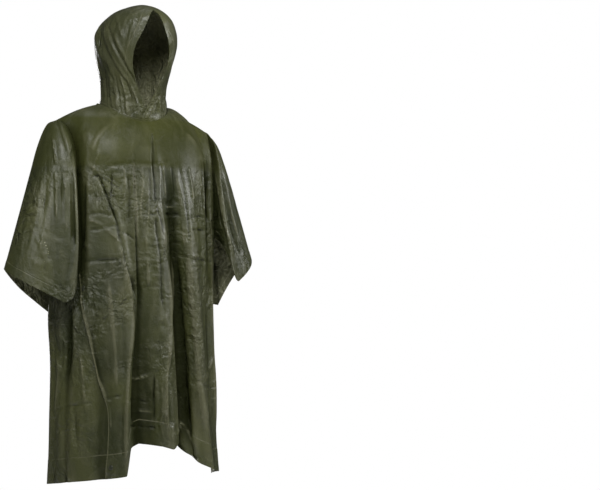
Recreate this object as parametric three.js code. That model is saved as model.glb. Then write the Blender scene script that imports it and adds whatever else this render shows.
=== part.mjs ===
// Hooded rain poncho, worn and hollow, closed under the arms with snaps.
// Millimetres, +Z up. The wearer faces -Y and the wearer's right hand is at -X.
// The origin is between the shoulders at the base of the neck.
import * as THREE from 'three';

// Cloth
const WALL = 1.5;
const HALF_WALL = WALL / 2;
const SEAM_GAP = 0.3;
const HEM_EXTRA = 0.8;
const HEM_WIDTH = 24;
const HEM_STEP = 2;
const LAP_ANGLE = 7;
const LAP_INSET = WALL + HEM_EXTRA + 0.5;

// Main levels
const CROWN_Z = 312;
const CHEST_Z = -160;
const NECK_FRONT_Z = -18;
const NECK_BACK_Z = 42;

// Neck hole
const NECK_HALF_WIDTH = 98;
const NECK_FRONT_DEPTH = 98;
const NECK_BACK_DEPTH = 98;
const NECK_CLEARANCE = 2.4;
const NECK_SKIRT = 6;

// Angles round the body: 0 at the centre of the front, +90 at the wearer's left, 180 at the back
const RIGHT_VALLEY = -58;
const LEFT_VALLEY = 74;
const RIGHT_BACK_VALLEY = -122;
const LEFT_BACK_VALLEY = -238;
const SHOULDER_START = 0.62;

// Mesh density
const FRONT_COLUMNS = 41;
const RIDGE_COLUMNS = 7;
const FLANK_ANGLE = 6;
const LONG_RIDGE = 'long ridge right of centre';
const BACK_COLUMNS = 25;
const RIGHT_SIDE_COLUMNS = 13;
const LEFT_SIDE_COLUMNS = 9;
const DOME_ROWS = 5;
const UPPER_ROWS = 6;
const MIDDLE_ROWS = 3;
const LOWER_ROWS = 16;
const SLEEVE_COLUMNS = 8;
const SLEEVE_FOLD_COLUMNS = 4;

// Rings round the trunk: half width to each side, depth to front and back
const TRUNK_RINGS = [
  { z: -160, right: 236, left: 236, front: 138, back: 132 },
  { z: -300, right: 236, left: 236, front: 146, back: 142 },
  { z: -440, right: 234, left: 234, front: 152, back: 150 },
  { z: -560, right: 240, left: 230, front: 158, back: 158 },
  { z: -700, right: 230, left: 230, front: 166, back: 166 },
  { z: -900, right: 229, left: 235, front: 178, back: 178 },
  { z: -1040, right: 231, left: 243, front: 186, back: 188 },
];

// Height of the bottom hem round the body
const HEM_HEIGHTS = [
  { angle: -240, z: -952 },
  { angle: -225, z: -944 },
  { angle: -205, z: -956 },
  { angle: -190, z: -946 },
  { angle: -172, z: -960 },
  { angle: -155, z: -956 },
  { angle: -138, z: -990 },
  { angle: -122, z: -1020 },
  { angle: -107, z: -1030 },
  { angle: -63, z: -1004 },
  { angle: -37, z: -992 },
  { angle: -22, z: -981 },
  { angle: -19.2, z: -910 },
  { angle: -12, z: -903 },
  { angle: 3, z: -911 },
  { angle: 9, z: -920 },
  { angle: 17, z: -907 },
  { angle: 23, z: -914 },
  { angle: 28, z: -940 },
  { angle: 33, z: -966 },
  { angle: 42, z: -990 },
  { angle: 57, z: -1014 },
  { angle: 75, z: -1020 },
  { angle: 88, z: -1012 },
  { angle: 100, z: -984 },
  { angle: 110, z: -960 },
  { angle: 120, z: -952 },
];

// Side edges of the front panel, which lap over the back panel
const RIGHT_SIDE_EDGE = [
  { z: -436, angle: -58 },
  { z: -470, angle: -55 },
  { z: -633, angle: -45.5 },
  { z: -724, angle: -41 },
  { z: -815, angle: -34.5 },
  { z: -900, angle: -34.5 },
  { z: -1040, angle: -37.5 },
];
const LEFT_SIDE_EDGE = [
  { z: -340, angle: 74 },
  { z: -500, angle: 77 },
  { z: -700, angle: 80 },
  { z: -900, angle: 82 },
  { z: -1040, angle: 82 },
];

// Folds of the trunk: a ridge has a positive depth, a trough a negative one.
// before and after are the widths on the lower and higher side of its angle.
const TRUNK_FOLDS = [
  {
    name: 'right armpit valley', before: 34, after: 46,
    stations: [
      { z: -40, angle: -58, depth: -3 },
      { z: -160, angle: -58, depth: -22 },
      { z: -320, angle: -58, depth: -28 },
      { z: -440, angle: -58, depth: -20 },
      { z: -560, angle: -57, depth: -4 },
      { z: -640, angle: -57, depth: 0 },
    ],
  },
  {
    name: 'long ridge right of centre', before: 78, after: 16,
    stations: [
      { z: -150, angle: -36, depth: 0 },
      { z: -230, angle: -31, depth: 5 },
      { z: -330, angle: -23, depth: 8 },
      { z: -500, angle: -19, depth: 13 },
      { z: -700, angle: -19, depth: 18 },
      { z: -900, angle: -21.5, depth: 28 },
      { z: -1040, angle: -22, depth: 32 },
    ],
  },
  {
    name: 'hollow beside the long ridge', before: 26, after: 60,
    stations: [
      { z: -420, angle: -10, depth: 0 },
      { z: -600, angle: -11, depth: -8 },
      { z: -800, angle: -12, depth: -16 },
      { z: -1040, angle: -12, depth: -24 },
    ],
  },
  {
    name: 'centre ridge', before: 42, after: 26,
    stations: [
      { z: -90, angle: -2, depth: 0 },
      { z: -200, angle: 0, depth: 5 },
      { z: -420, angle: 4, depth: 11 },
      { z: -700, angle: 7, depth: 19 },
      { z: -950, angle: 9, depth: 24 },
    ],
  },
  {
    name: 'deep trough left of centre', before: 31, after: 31,
    stations: [
      { z: -110, angle: 9, depth: 0 },
      { z: -234, angle: 14, depth: -13 },
      { z: -405, angle: 20, depth: -34 },
      { z: -600, angle: 24, depth: -46 },
      { z: -800, angle: 25, depth: -50 },
      { z: -950, angle: 24, depth: -42 },
    ],
  },
  {
    name: 'ridge left of the trough', before: 32, after: 54,
    stations: [
      { z: -140, angle: 25, depth: 0 },
      { z: -280, angle: 28, depth: 9 },
      { z: -450, angle: 32, depth: 17 },
      { z: -650, angle: 36, depth: 22 },
      { z: -850, angle: 40, depth: 24 },
      { z: -1040, angle: 44, depth: 26 },
    ],
  },
  {
    name: 'trough before the left side', before: 26, after: 28,
    stations: [
      { z: -60, angle: 57, depth: 0 },
      { z: -140, angle: 57, depth: -14 },
      { z: -250, angle: 58, depth: -16 },
      { z: -380, angle: 58, depth: -6 },
      { z: -800, angle: 60, depth: -5 },
      { z: -1040, angle: 61, depth: -3 },
    ],
  },
  {
    name: 'left side ridge', before: 30, after: 44,
    stations: [
      { z: -90, angle: 66, depth: 0 },
      { z: -180, angle: 67, depth: 8 },
      { z: -500, angle: 71, depth: 10 },
      { z: -1040, angle: 76, depth: 14 },
    ],
  },
  {
    name: 'right side trough', before: 34, after: 30,
    stations: [
      { z: -480, angle: -66, depth: -6 },
      { z: -650, angle: -68, depth: -12 },
      { z: -820, angle: -73, depth: -6 },
      { z: -1040, angle: -74, depth: -12 },
    ],
  },
  {
    name: 'right side ridge', before: 46, after: 38,
    stations: [
      { z: -440, angle: -92, depth: 2 },
      { z: -600, angle: -93, depth: 8 },
      { z: -820, angle: -96, depth: 11 },
      { z: -1040, angle: -98, depth: 15 },
    ],
  },
  {
    name: 'right back trough', before: 36, after: 42,
    stations: [
      { z: -120, angle: -124, depth: 0 },
      { z: -240, angle: -123, depth: -16 },
      { z: -420, angle: -122, depth: -18 },
      { z: -700, angle: -120, depth: -12 },
      { z: -1040, angle: -117, depth: -18 },
    ],
  },
  {
    name: 'right back ridge', before: 42, after: 34,
    stations: [
      { z: -150, angle: -146, depth: 0 },
      { z: -350, angle: -143, depth: 8 },
      { z: -650, angle: -140, depth: 13 },
      { z: -1040, angle: -137, depth: 18 },
    ],
  },
  {
    name: 'trough right of the back centre', before: 30, after: 38,
    stations: [
      { z: -190, angle: -166, depth: 0 },
      { z: -400, angle: -163, depth: -9 },
      { z: -700, angle: -160, depth: -14 },
      { z: -1040, angle: -155, depth: -17 },
    ],
  },
  {
    name: 'back centre ridge', before: 46, after: 36,
    stations: [
      { z: -140, angle: -181, depth: 0 },
      { z: -380, angle: -178, depth: 8 },
      { z: -720, angle: -176, depth: 12 },
      { z: -1040, angle: -173, depth: 16 },
    ],
  },
  {
    name: 'trough left of the back centre', before: 36, after: 32,
    stations: [
      { z: -160, angle: -196, depth: 0 },
      { z: -420, angle: -196, depth: -12 },
      { z: -760, angle: -193, depth: -16 },
      { z: -1040, angle: -190, depth: -19 },
    ],
  },
  {
    name: 'left back ridge', before: 34, after: 42,
    stations: [
      { z: -180, angle: -213, depth: 0 },
      { z: -430, angle: -212, depth: 9 },
      { z: -760, angle: -210, depth: 13 },
      { z: -1040, angle: -207, depth: 17 },
    ],
  },
  {
    name: 'left back trough', before: 38, after: 36,
    stations: [
      { z: -120, angle: -237, depth: 0 },
      { z: -240, angle: -237, depth: -14 },
      { z: -420, angle: -235, depth: -16 },
      { z: -760, angle: -229, depth: -12 },
      { z: -1040, angle: -224, depth: -18 },
    ],
  },
];

// Sleeves: the fold over the arm, the inner corner of each layer, along t from shoulder to cuff
const RIGHT_SLEEVE = {
  side: -1,
  arm: [
    { t: 0, x: -225, y: 0, z: -17 },
    { t: 0.1, x: -252, y: 0, z: -31 },
    { t: 0.24, x: -277, y: 0, z: -86 },
    { t: 0.45, x: -300, y: 0, z: -168 },
    { t: 0.7, x: -330, y: 0, z: -278 },
    { t: 1, x: -371, y: 0, z: -427 },
  ],
  frontCorner: [
    { t: 0, x: -225, y: 0, z: -17 },
    { t: 0.12, x: -232, y: -52, z: -50 },
    { t: 0.3, x: -222, y: -88, z: -130 },
    { t: 0.5, x: -217, y: -104, z: -240 },
    { t: 0.75, x: -220, y: -112, z: -370 },
    { t: 1, x: -242, y: -112, z: -514 },
  ],
  backCorner: [
    { t: 0, x: -225, y: 0, z: -17 },
    { t: 0.12, x: -236, y: 48, z: -50 },
    { t: 0.3, x: -238, y: 78, z: -135 },
    { t: 0.5, x: -238, y: 92, z: -250 },
    { t: 0.75, x: -228, y: 100, z: -400 },
    { t: 1, x: -206, y: 104, z: -558 },
  ],
  frontFullness: 0.9,
  backFullness: 0.4,
};
const LEFT_SLEEVE = {
  side: 1,
  arm: [
    { t: 0, x: 228, y: 0, z: -32 },
    { t: 0.1, x: 251, y: 0, z: -61 },
    { t: 0.28, x: 277, y: 0, z: -126 },
    { t: 0.6, x: 321, y: 0, z: -241 },
    { t: 1, x: 371, y: 0, z: -390 },
  ],
  frontCorner: [
    { t: 0, x: 228, y: 0, z: -32 },
    { t: 0.14, x: 240, y: -44, z: -75 },
    { t: 0.35, x: 244, y: -74, z: -160 },
    { t: 0.65, x: 256, y: -88, z: -290 },
    { t: 1, x: 292, y: -94, z: -467 },
  ],
  backCorner: [
    { t: 0, x: 228, y: 0, z: -32 },
    { t: 0.14, x: 244, y: 44, z: -78 },
    { t: 0.35, x: 254, y: 74, z: -180 },
    { t: 0.65, x: 276, y: 84, z: -340 },
    { t: 1, x: 313, y: 88, z: -545 },
  ],
  frontFullness: 0.9,
  backFullness: 0.8,
};

// Hood: sections by height, with the centre of each at y
const HOOD_SECTIONS = [
  { z: -30, y: 0, half: 98, front: 98, back: 98 },
  { z: 8, y: 0, half: 97, front: 99, back: 98 },
  { z: 32, y: 1, half: 95, front: 104, back: 97 },
  { z: 54, y: 2, half: 88, front: 112, back: 93 },
  { z: 82, y: 0, half: 88, front: 120, back: 98 },
  { z: 112, y: -7, half: 93, front: 127, back: 113 },
  { z: 140, y: -14, half: 101, front: 134, back: 125 },
  { z: 167, y: -19, half: 107, front: 137, back: 131 },
  { z: 200, y: -23, half: 112, front: 141, back: 136 },
  { z: 230, y: -25, half: 111, front: 142, back: 133 },
  { z: 258, y: -29, half: 99, front: 138, back: 122 },
  { z: 275, y: -32, half: 84, front: 128, back: 108 },
  { z: 287, y: -34, half: 69, front: 113, back: 94 },
  { z: 297, y: -36, half: 51, front: 94, back: 78 },
  { z: 304, y: -36, half: 36, front: 72, back: 62 },
  { z: 309, y: -34, half: 21, front: 48, back: 46 },
  { z: 312, y: -30, half: 0, front: 24, back: 30 },
];

// Half width of the face opening by height: past the centre below the chin
const FACE_OPENING = [
  { z: -30, half: -18 },
  { z: -8, half: -11 },
  { z: 19, half: 0 },
  { z: 54, half: 20 },
  { z: 82, half: 32.5 },
  { z: 112, half: 44.5 },
  { z: 140, half: 52 },
  { z: 167, half: 52.5 },
  { z: 192, half: 47.5 },
  { z: 225, half: 33 },
  { z: 255, half: 20 },
  { z: 272, half: 12 },
  { z: 284, half: 0 },
];
const FACE_TOP_Z = 284;
const CHIN_LAP_TOP = 62;
const CHIN_LAP_ANGLE = 34;

// Gathers above the neck seam and long wrinkles of the hood, by angle from the face
const HOOD_FOLDS = [
  { side: -1, angle: 30, low: -20, high: 112, drift: -10, depth: 4.5, width: 9 },
  { side: -1, angle: 44, low: -20, high: 128, drift: -12, depth: -5, width: 9 },
  { side: -1, angle: 57, low: -20, high: 118, drift: -10, depth: 5, width: 10 },
  { side: -1, angle: 72, low: -20, high: 96, drift: -8, depth: -4, width: 10 },
  { side: -1, angle: 88, low: -20, high: 84, drift: -4, depth: 4, width: 11 },
  { side: -1, angle: 108, low: -20, high: 100, drift: 4, depth: -4, width: 12 },
  { side: -1, angle: 130, low: -20, high: 90, drift: 6, depth: 4, width: 12 },
  { side: -1, angle: 152, low: -20, high: 104, drift: 4, depth: -4, width: 12 },
  { side: -1, angle: 40, low: 60, high: 290, drift: 62, depth: -5, width: 15 },
  { side: -1, angle: 58, low: 96, high: 270, drift: 58, depth: 4, width: 17 },
  { side: 1, angle: 34, low: -20, high: 104, drift: -10, depth: 4, width: 9 },
  { side: 1, angle: 50, low: -20, high: 120, drift: -9, depth: -5, width: 10 },
  { side: 1, angle: 68, low: -20, high: 92, drift: -6, depth: 4, width: 11 },
  { side: 1, angle: 90, low: -20, high: 110, drift: -2, depth: -4, width: 12 },
  { side: 1, angle: 114, low: -20, high: 86, drift: 5, depth: 4, width: 12 },
  { side: 1, angle: 140, low: -20, high: 106, drift: 6, depth: -4, width: 12 },
  { side: 1, angle: 44, low: 70, high: 280, drift: 54, depth: -5, width: 16 },
];
const HOOD_LOW_Z = 72;
const HOOD_ROWS = 17;
const HOOD_COLUMNS = 16;

// Snaps: height of each pair on the side laps
const SNAP_RADIUS = 6.5;
const SNAP_THICKNESS = 2.2;
const SNAP_STAND_OFF = 0.5;
const RIGHT_SNAP_HEIGHTS = [-478, -958];
const LEFT_SNAP_HEIGHTS = [-380, -985];

const DEGREE = Math.PI / 180;

const OLIVE = new THREE.Color(0x4b4d38);
const SNAP_OLIVE = new THREE.Color(0x3d3f2d);

// Value of a column in a table at a position, with smooth slopes between its rows
function along(rows, key, position, column) {
  const last = rows.length - 1;
  const rising = rows[last][key] > rows[0][key];
  const start = rising ? rows[0][key] : rows[last][key];
  const end = rising ? rows[last][key] : rows[0][key];
  const place = Math.min(Math.max(position, start), end);
  let index = 0;
  while (index < last - 1 && (rising ? place > rows[index + 1][key] : place < rows[index + 1][key])) {
    index += 1;
  }
  const slopeAt = (i) => {
    const low = Math.max(i - 1, 0);
    const high = Math.min(i + 1, last);
    return (rows[high][column] - rows[low][column]) / (rows[high][key] - rows[low][key]);
  };
  const from = rows[index];
  const to = rows[index + 1];
  const span = to[key] - from[key];
  const s = (place - from[key]) / span;
  const h00 = 2 * s ** 3 - 3 * s ** 2 + 1;
  const h10 = s ** 3 - 2 * s ** 2 + s;
  const h01 = -2 * s ** 3 + 3 * s ** 2;
  const h11 = s ** 3 - s ** 2;
  return h00 * from[column] + h10 * span * slopeAt(index) + h01 * to[column] + h11 * span * slopeAt(index + 1);
}

function straightAlong(rows, key, position, column) {
  const last = rows.length - 1;
  const rising = rows[last][key] > rows[0][key];
  let index = 0;
  while (index < last - 1 && (rising ? position > rows[index + 1][key] : position < rows[index + 1][key])) {
    index += 1;
  }
  const from = rows[index];
  const to = rows[index + 1];
  const s = Math.min(Math.max((position - from[key]) / (to[key] - from[key]), 0), 1);
  return from[column] + s * (to[column] - from[column]);
}

function smoothStep(low, high, value) {
  const s = Math.min(Math.max((value - low) / (high - low), 0), 1);
  return s * s * (3 - 2 * s);
}

function bump(offset, before, after) {
  const s = offset < 0 ? -offset / before : offset / after;
  return s >= 1 ? 0 : 0.5 * (1 + Math.cos(Math.PI * s));
}

function mix(low, high, share) {
  return low + (high - low) * share;
}

// Difference of two angles in degrees, within half a turn
function turnBetween(angle, centre) {
  return ((((angle - centre) % 360) + 540) % 360) - 180;
}

// Trunk

function hemHeight(angle) {
  const wrapped = angle < -240 ? angle + 360 : angle;
  return straightAlong(HEM_HEIGHTS, 'angle', wrapped, 'z');
}

function trunkPoint(angle, z, inset = 0) {
  const side = Math.sin(angle * DEGREE);
  const ahead = Math.cos(angle * DEGREE);
  const level = Math.min(z, CHEST_Z);
  const half = along(TRUNK_RINGS, 'z', level, side < 0 ? 'right' : 'left');
  const depth = along(TRUNK_RINGS, 'z', level, ahead > 0 ? 'front' : 'back');
  const radius = Math.hypot(half * side, depth * ahead);
  let fold = 0;
  for (const row of TRUNK_FOLDS) {
    const stations = row.stations;
    const top = stations[0].z;
    const bottom = stations[stations.length - 1].z;
    const height = Math.min(Math.max(z, bottom), top);
    const centre = along(stations, 'z', height, 'angle');
    const offset = turnBetween(angle, centre) * DEGREE * radius;
    fold += along(stations, 'z', height, 'depth') * bump(offset, row.before, row.after);
  }
  const outward = new THREE.Vector2(side / half, -ahead / depth).normalize();
  const move = fold - inset;
  return new THREE.Vector3(half * side + outward.x * move, -depth * ahead + outward.y * move, z);
}

// Neck hole and shoulder line, the top edge of the panels

function neckHeight(turn) {
  return NECK_FRONT_Z + (NECK_BACK_Z - NECK_FRONT_Z) * (1 - Math.cos(turn * DEGREE / 2) ** 6);
}

function neckPoint(turn, grow = 0) {
  const side = Math.sin(turn * DEGREE);
  const ahead = Math.cos(turn * DEGREE);
  const depth = ahead > 0 ? NECK_FRONT_DEPTH : NECK_BACK_DEPTH;
  return new THREE.Vector3((NECK_HALF_WIDTH + grow) * side, -(depth + grow) * ahead, neckHeight(turn));
}

function shoulderPoint(sleeve, share) {
  const neck = neckPoint(90 * sleeve.side, NECK_CLEARANCE);
  const end = sleeve.arm[0];
  const sag = (sleeve.side < 0 ? -6 : 4) * Math.sin(Math.PI * share);
  return new THREE.Vector3(mix(neck.x, end.x, share), 0, mix(neck.z, end.z, share) - sag);
}

// share runs from 0 at the centre of a panel to 1 at its valley
function topEdgePoint(sleeve, share, facing) {
  if (share <= SHOULDER_START) {
    const quarter = 90 * share / SHOULDER_START;
    const turn = facing > 0 ? quarter : 180 - quarter;
    return neckPoint(turn * sleeve.side, NECK_CLEARANCE);
  }
  return shoulderPoint(sleeve, (share - SHOULDER_START) / (1 - SHOULDER_START));
}

// Rows: the dome from the top edge to the chest, then the trunk down to the hem

function rowShare(z, angle) {
  return (CHEST_Z - z) / (CHEST_Z - hemHeight(angle));
}

const RIGHT_UNDERARM = rowShare(-436, RIGHT_VALLEY);
const LEFT_UNDERARM = rowShare(-340, LEFT_VALLEY);

function trunkRows() {
  const rows = [];
  for (let i = 1; i <= UPPER_ROWS; i += 1) {
    rows.push(mix(0, LEFT_UNDERARM, i / UPPER_ROWS));
  }
  for (let i = 1; i <= MIDDLE_ROWS; i += 1) {
    rows.push(mix(LEFT_UNDERARM, RIGHT_UNDERARM, i / MIDDLE_ROWS));
  }
  const hemStart = 1 - HEM_WIDTH / 860;
  for (let i = 1; i <= LOWER_ROWS; i += 1) {
    rows.push(mix(RIGHT_UNDERARM, hemStart, i / LOWER_ROWS));
  }
  rows.push(1 - (HEM_WIDTH - HEM_STEP) / 860);
  rows.push(1);
  return rows;
}

const TRUNK_ROWS = trunkRows();
const LEFT_UNDERARM_ROW = DOME_ROWS + UPPER_ROWS;
const RIGHT_UNDERARM_ROW = LEFT_UNDERARM_ROW + MIDDLE_ROWS;
const HEM_ROW = DOME_ROWS + TRUNK_ROWS.length - 1;
const LAST_ROW = DOME_ROWS + TRUNK_ROWS.length;

function trunkHeight(angle, row) {
  return mix(CHEST_Z, hemHeight(angle), TRUNK_ROWS[row - DOME_ROWS - 1]);
}

// Row 0 is the top edge, and row DOME_ROWS is at chest height
function panelPoint(angle, row, top, inset = 0) {
  if (row > DOME_ROWS) {
    return trunkPoint(angle, trunkHeight(angle, row), inset);
  }
  const chest = trunkPoint(angle, CHEST_Z);
  const quarter = (row / DOME_ROWS) * 90 * DEGREE;
  const outward = Math.sin(quarter);
  const down = 1 - Math.cos(quarter);
  return new THREE.Vector3(
    mix(top.x, chest.x, outward),
    mix(top.y, chest.y, outward),
    mix(top.z, chest.z, down),
  );
}

// A sheet gathers points and triangles, and turns them into a closed wall
class Sheet {
  constructor() {
    this.points = [];
    this.found = new Map();
    this.triangles = [];
    this.outside = [];
    this.level = [];
  }

  add(point, options = {}) {
    const key = [point.x, point.y, point.z].map((value) => Math.round(value * 1000)).join(',');
    if (!this.found.has(key)) {
      this.found.set(key, this.points.length);
      this.points.push(point.clone());
      this.outside.push(options.extra ?? 0);
      this.level.push(options.level ?? null);
    }
    return this.found.get(key);
  }

  // A grid of rows of indices: outward is on the right of a walk down its columns
  grid(rows) {
    for (let r = 0; r + 1 < rows.length; r += 1) {
      for (let c = 0; c + 1 < rows[r].length; c += 1) {
        this.corner(rows[r][c], rows[r + 1][c], rows[r + 1][c + 1]);
        this.corner(rows[r][c], rows[r + 1][c + 1], rows[r][c + 1]);
      }
    }
  }

  corner(a, b, c) {
    if (a !== b && b !== c && a !== c) {
      this.triangles.push([a, b, c]);
    }
  }

  normals() {
    const normals = this.points.map(() => new THREE.Vector3());
    for (const [a, b, c] of this.triangles) {
      const along1 = this.points[b].clone().sub(this.points[a]);
      const along2 = this.points[c].clone().sub(this.points[a]);
      const face = along1.cross(along2);
      normals[a].add(face);
      normals[b].add(face);
      normals[c].add(face);
    }
    normals.forEach((normal, index) => {
      if (this.level[index] === 'x') {
        normal.x = 0;
      }
      if (this.level[index] === 'y') {
        normal.y = 0;
      }
      normal.normalize();
    });
    return normals;
  }

  wall() {
    const normals = this.normals();
    const count = this.points.length;
    const positions = new Float32Array(count * 6);
    this.points.forEach((point, index) => {
      const outer = point.clone().addScaledVector(normals[index], HALF_WALL + this.outside[index]);
      const inner = point.clone().addScaledVector(normals[index], -HALF_WALL);
      outer.toArray(positions, index * 3);
      inner.toArray(positions, (count + index) * 3);
    });
    const edges = new Map();
    const faces = [];
    for (const [a, b, c] of this.triangles) {
      faces.push(a, b, c);
      faces.push(count + a, count + c, count + b);
      for (const [from, to] of [[a, b], [b, c], [c, a]]) {
        edges.set(`${from},${to}`, [from, to]);
      }
    }
    for (const [from, to] of edges.values()) {
      if (!edges.has(`${to},${from}`)) {
        faces.push(from, count + from, count + to);
        faces.push(from, count + to, to);
      }
    }
    const geometry = new THREE.BufferGeometry();
    geometry.setAttribute('position', new THREE.BufferAttribute(positions, 3));
    geometry.setIndex(faces);
    geometry.computeVertexNormals();
    return geometry;
  }
}

// Columns of the trunk patches

function sideEdge(rows, row, underarmRow) {
  if (row <= underarmRow) {
    return rows[0].angle;
  }
  return along(rows, 'z', trunkHeight(rows[0].angle, row), 'angle');
}

// One column follows the crest of the long ridge, whose far flank is steep
function frontAngles(row) {
  const right = sideEdge(RIGHT_SIDE_EDGE, row, RIGHT_UNDERARM_ROW);
  const left = sideEdge(LEFT_SIDE_EDGE, row, LEFT_UNDERARM_ROW);
  const stations = TRUNK_FOLDS.find((fold) => fold.name === LONG_RIDGE).stations;
  const height = row > DOME_ROWS ? trunkHeight(stations[stations.length - 1].angle, row) : CHEST_Z;
  const crest = along(stations, 'z', Math.max(height, stations[stations.length - 1].z), 'angle');
  const spans = [
    { to: right + LAP_ANGLE, steps: 3 },
    { to: crest, steps: RIDGE_COLUMNS },
    { to: crest + FLANK_ANGLE, steps: 3 },
    { to: left - LAP_ANGLE, steps: FRONT_COLUMNS - RIDGE_COLUMNS - 9 },
    { to: left, steps: 3 },
  ];
  const angles = [right];
  for (const span of spans) {
    const from = angles[angles.length - 1];
    for (let i = 1; i <= span.steps; i += 1) {
      angles.push(mix(from, span.to, i / span.steps));
    }
  }
  return angles;
}

function backAngles() {
  const angles = [];
  for (let i = 0; i <= BACK_COLUMNS; i += 1) {
    angles.push(mix(RIGHT_BACK_VALLEY, LEFT_BACK_VALLEY, i / BACK_COLUMNS));
  }
  return angles;
}

function hemThickness(row) {
  return row >= HEM_ROW ? HEM_EXTRA : 0;
}

// The seam along shoulder and arm: each panel stops half a gap short of it
function seamPoint(point, facing) {
  return new THREE.Vector3(point.x, -facing * SEAM_GAP, point.z);
}

// Front and back parts of the trunk, from one valley to the other
function trunkPatch(sheet, facing) {
  const rows = [];
  for (let row = 0; row <= LAST_ROW; row += 1) {
    const angles = facing > 0 ? frontAngles(row) : backAngles();
    const centre = facing > 0 ? 0 : -180;
    const line = angles.map((angle) => {
      const turn = (angle - centre) * facing;
      const sleeve = turn < 0 ? RIGHT_SLEEVE : LEFT_SLEEVE;
      const limit = facing > 0
        ? (turn < 0 ? -RIGHT_VALLEY : LEFT_VALLEY)
        : (turn < 0 ? 180 + RIGHT_BACK_VALLEY : -180 - LEFT_BACK_VALLEY);
      const share = row > DOME_ROWS ? 0 : Math.min(Math.abs(turn) / limit, 1);
      const top = topEdgePoint(sleeve, share, facing);
      let point = panelPoint(angle, row, top);
      const onSeam = row === 0 && share >= SHOULDER_START - 1e-9;
      if (onSeam) {
        point = seamPoint(point, facing);
      }
      return sheet.add(point, { extra: hemThickness(row), level: onSeam ? 'y' : null });
    });
    rows.push(line);
  }
  if (facing > 0) {
    sheet.grid(rows);
  } else {
    sheet.grid(rows.map((line) => line.slice().reverse()));
  }
  return rows;
}

// The part of the back panel that wraps round a side and under the lap of the front panel
function sidePatch(sheet, backRows, right) {
  const edgeRows = right ? RIGHT_SIDE_EDGE : LEFT_SIDE_EDGE;
  const backValley = right ? RIGHT_BACK_VALLEY : LEFT_BACK_VALLEY + 360;
  const firstRow = right ? RIGHT_UNDERARM_ROW : LEFT_UNDERARM_ROW;
  const columns = right ? RIGHT_SIDE_COLUMNS : LEFT_SIDE_COLUMNS;
  const inward = right ? 1 : -1;
  const lines = [];
  for (let row = firstRow; row <= LAST_ROW; row += 1) {
    const edge = sideEdge(edgeRows, row, firstRow);
    const shared = right ? backRows[row][0] : backRows[row][BACK_COLUMNS];
    const line = [shared];
    for (let i = 1; i <= columns + 3; i += 1) {
      const angle = i <= columns
        ? mix(backValley, edge, i / columns)
        : edge + inward * LAP_ANGLE * (i - columns) / 3;
      const from = edge - inward * 12;
      const to = edge - inward * 1;
      const inset = LAP_INSET * smoothStep(0, 1, (angle - from) / (to - from));
      line.push(sheet.add(panelPoint(angle, row, null, inset), { extra: 0 }));
    }
    lines.push(line);
  }
  sheet.grid(right ? lines : lines.map((line) => line.slice().reverse()));
}

// Sleeve layer: over the arm, down to the inner corner, and round into the valley
function sleevePatch(sheet, trunk, sleeve, facing) {
  const lastRow = sleeve.side < 0 ? RIGHT_UNDERARM_ROW : LEFT_UNDERARM_ROW;
  const column = sleeve.side < 0 ? 0 : trunk[0].length - 1;
  const corners = facing > 0 ? sleeve.frontCorner : sleeve.backCorner;
  const fullness = facing > 0 ? sleeve.frontFullness : sleeve.backFullness;
  const shares = [];
  for (let row = 0; row <= lastRow; row += 1) {
    shares.push(row / lastRow);
  }
  const cuffShare = 1 - HEM_WIDTH / 420;
  const lines = [];
  shares.forEach((t, row) => {
    const valley = sheet.points[trunk[row][column]];
    const readAt = (table) => new THREE.Vector3(
      along(table, 't', t, 'x'),
      along(table, 't', t, 'y'),
      along(table, 't', t, 'z'),
    );
    const arm = readAt(sleeve.arm);
    const corner = readAt(corners);
    const extra = t > cuffShare ? HEM_EXTRA : 0;
    const line = [];
    for (let i = 0; i <= SLEEVE_COLUMNS; i += 1) {
      const share = i / SLEEVE_COLUMNS;
      const quarter = share * 90 * DEGREE;
      const across = mix(share, 1 - Math.cos(quarter), fullness);
      const point = new THREE.Vector3(
        mix(arm.x, corner.x, across),
        corner.y * mix(share, Math.sin(quarter), fullness),
        mix(arm.z, corner.z, mix(share, across, 0.4)),
      );
      const onSeam = i === 0;
      line.push(row === 0
        ? trunk[0][column]
        : sheet.add(onSeam ? seamPoint(point, facing) : point, { extra, level: onSeam ? 'y' : null }));
    }
    const reach = corner.distanceTo(valley);
    const inward = corner.clone().sub(arm).setY(0).normalize();
    const toCorner = new THREE.Vector3(sleeve.side * 0.55, -facing * 0.75, -0.2).normalize();
    const bend = new THREE.CubicBezierCurve3(
      corner,
      corner.clone().addScaledVector(inward, 0.45 * reach),
      valley.clone().addScaledVector(toCorner, 0.4 * reach),
      valley,
    );
    for (let i = 1; i < SLEEVE_FOLD_COLUMNS; i += 1) {
      line.push(row === 0 ? trunk[0][column] : sheet.add(bend.getPoint(i / SLEEVE_FOLD_COLUMNS), { extra }));
    }
    line.push(trunk[row][column]);
    lines.push(line);
  });
  const sameSense = sleeve.side * facing < 0;
  sheet.grid(sameSense ? lines : lines.map((line) => line.slice().reverse()));
}

function bodyPanel(facing) {
  const sheet = new Sheet();
  const trunk = trunkPatch(sheet, facing);
  if (facing < 0) {
    sidePatch(sheet, trunk, true);
    sidePatch(sheet, trunk, false);
  }
  sleevePatch(sheet, trunk, RIGHT_SLEEVE, facing);
  sleevePatch(sheet, trunk, LEFT_SLEEVE, facing);
  return sheet;
}

// Hood

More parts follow.
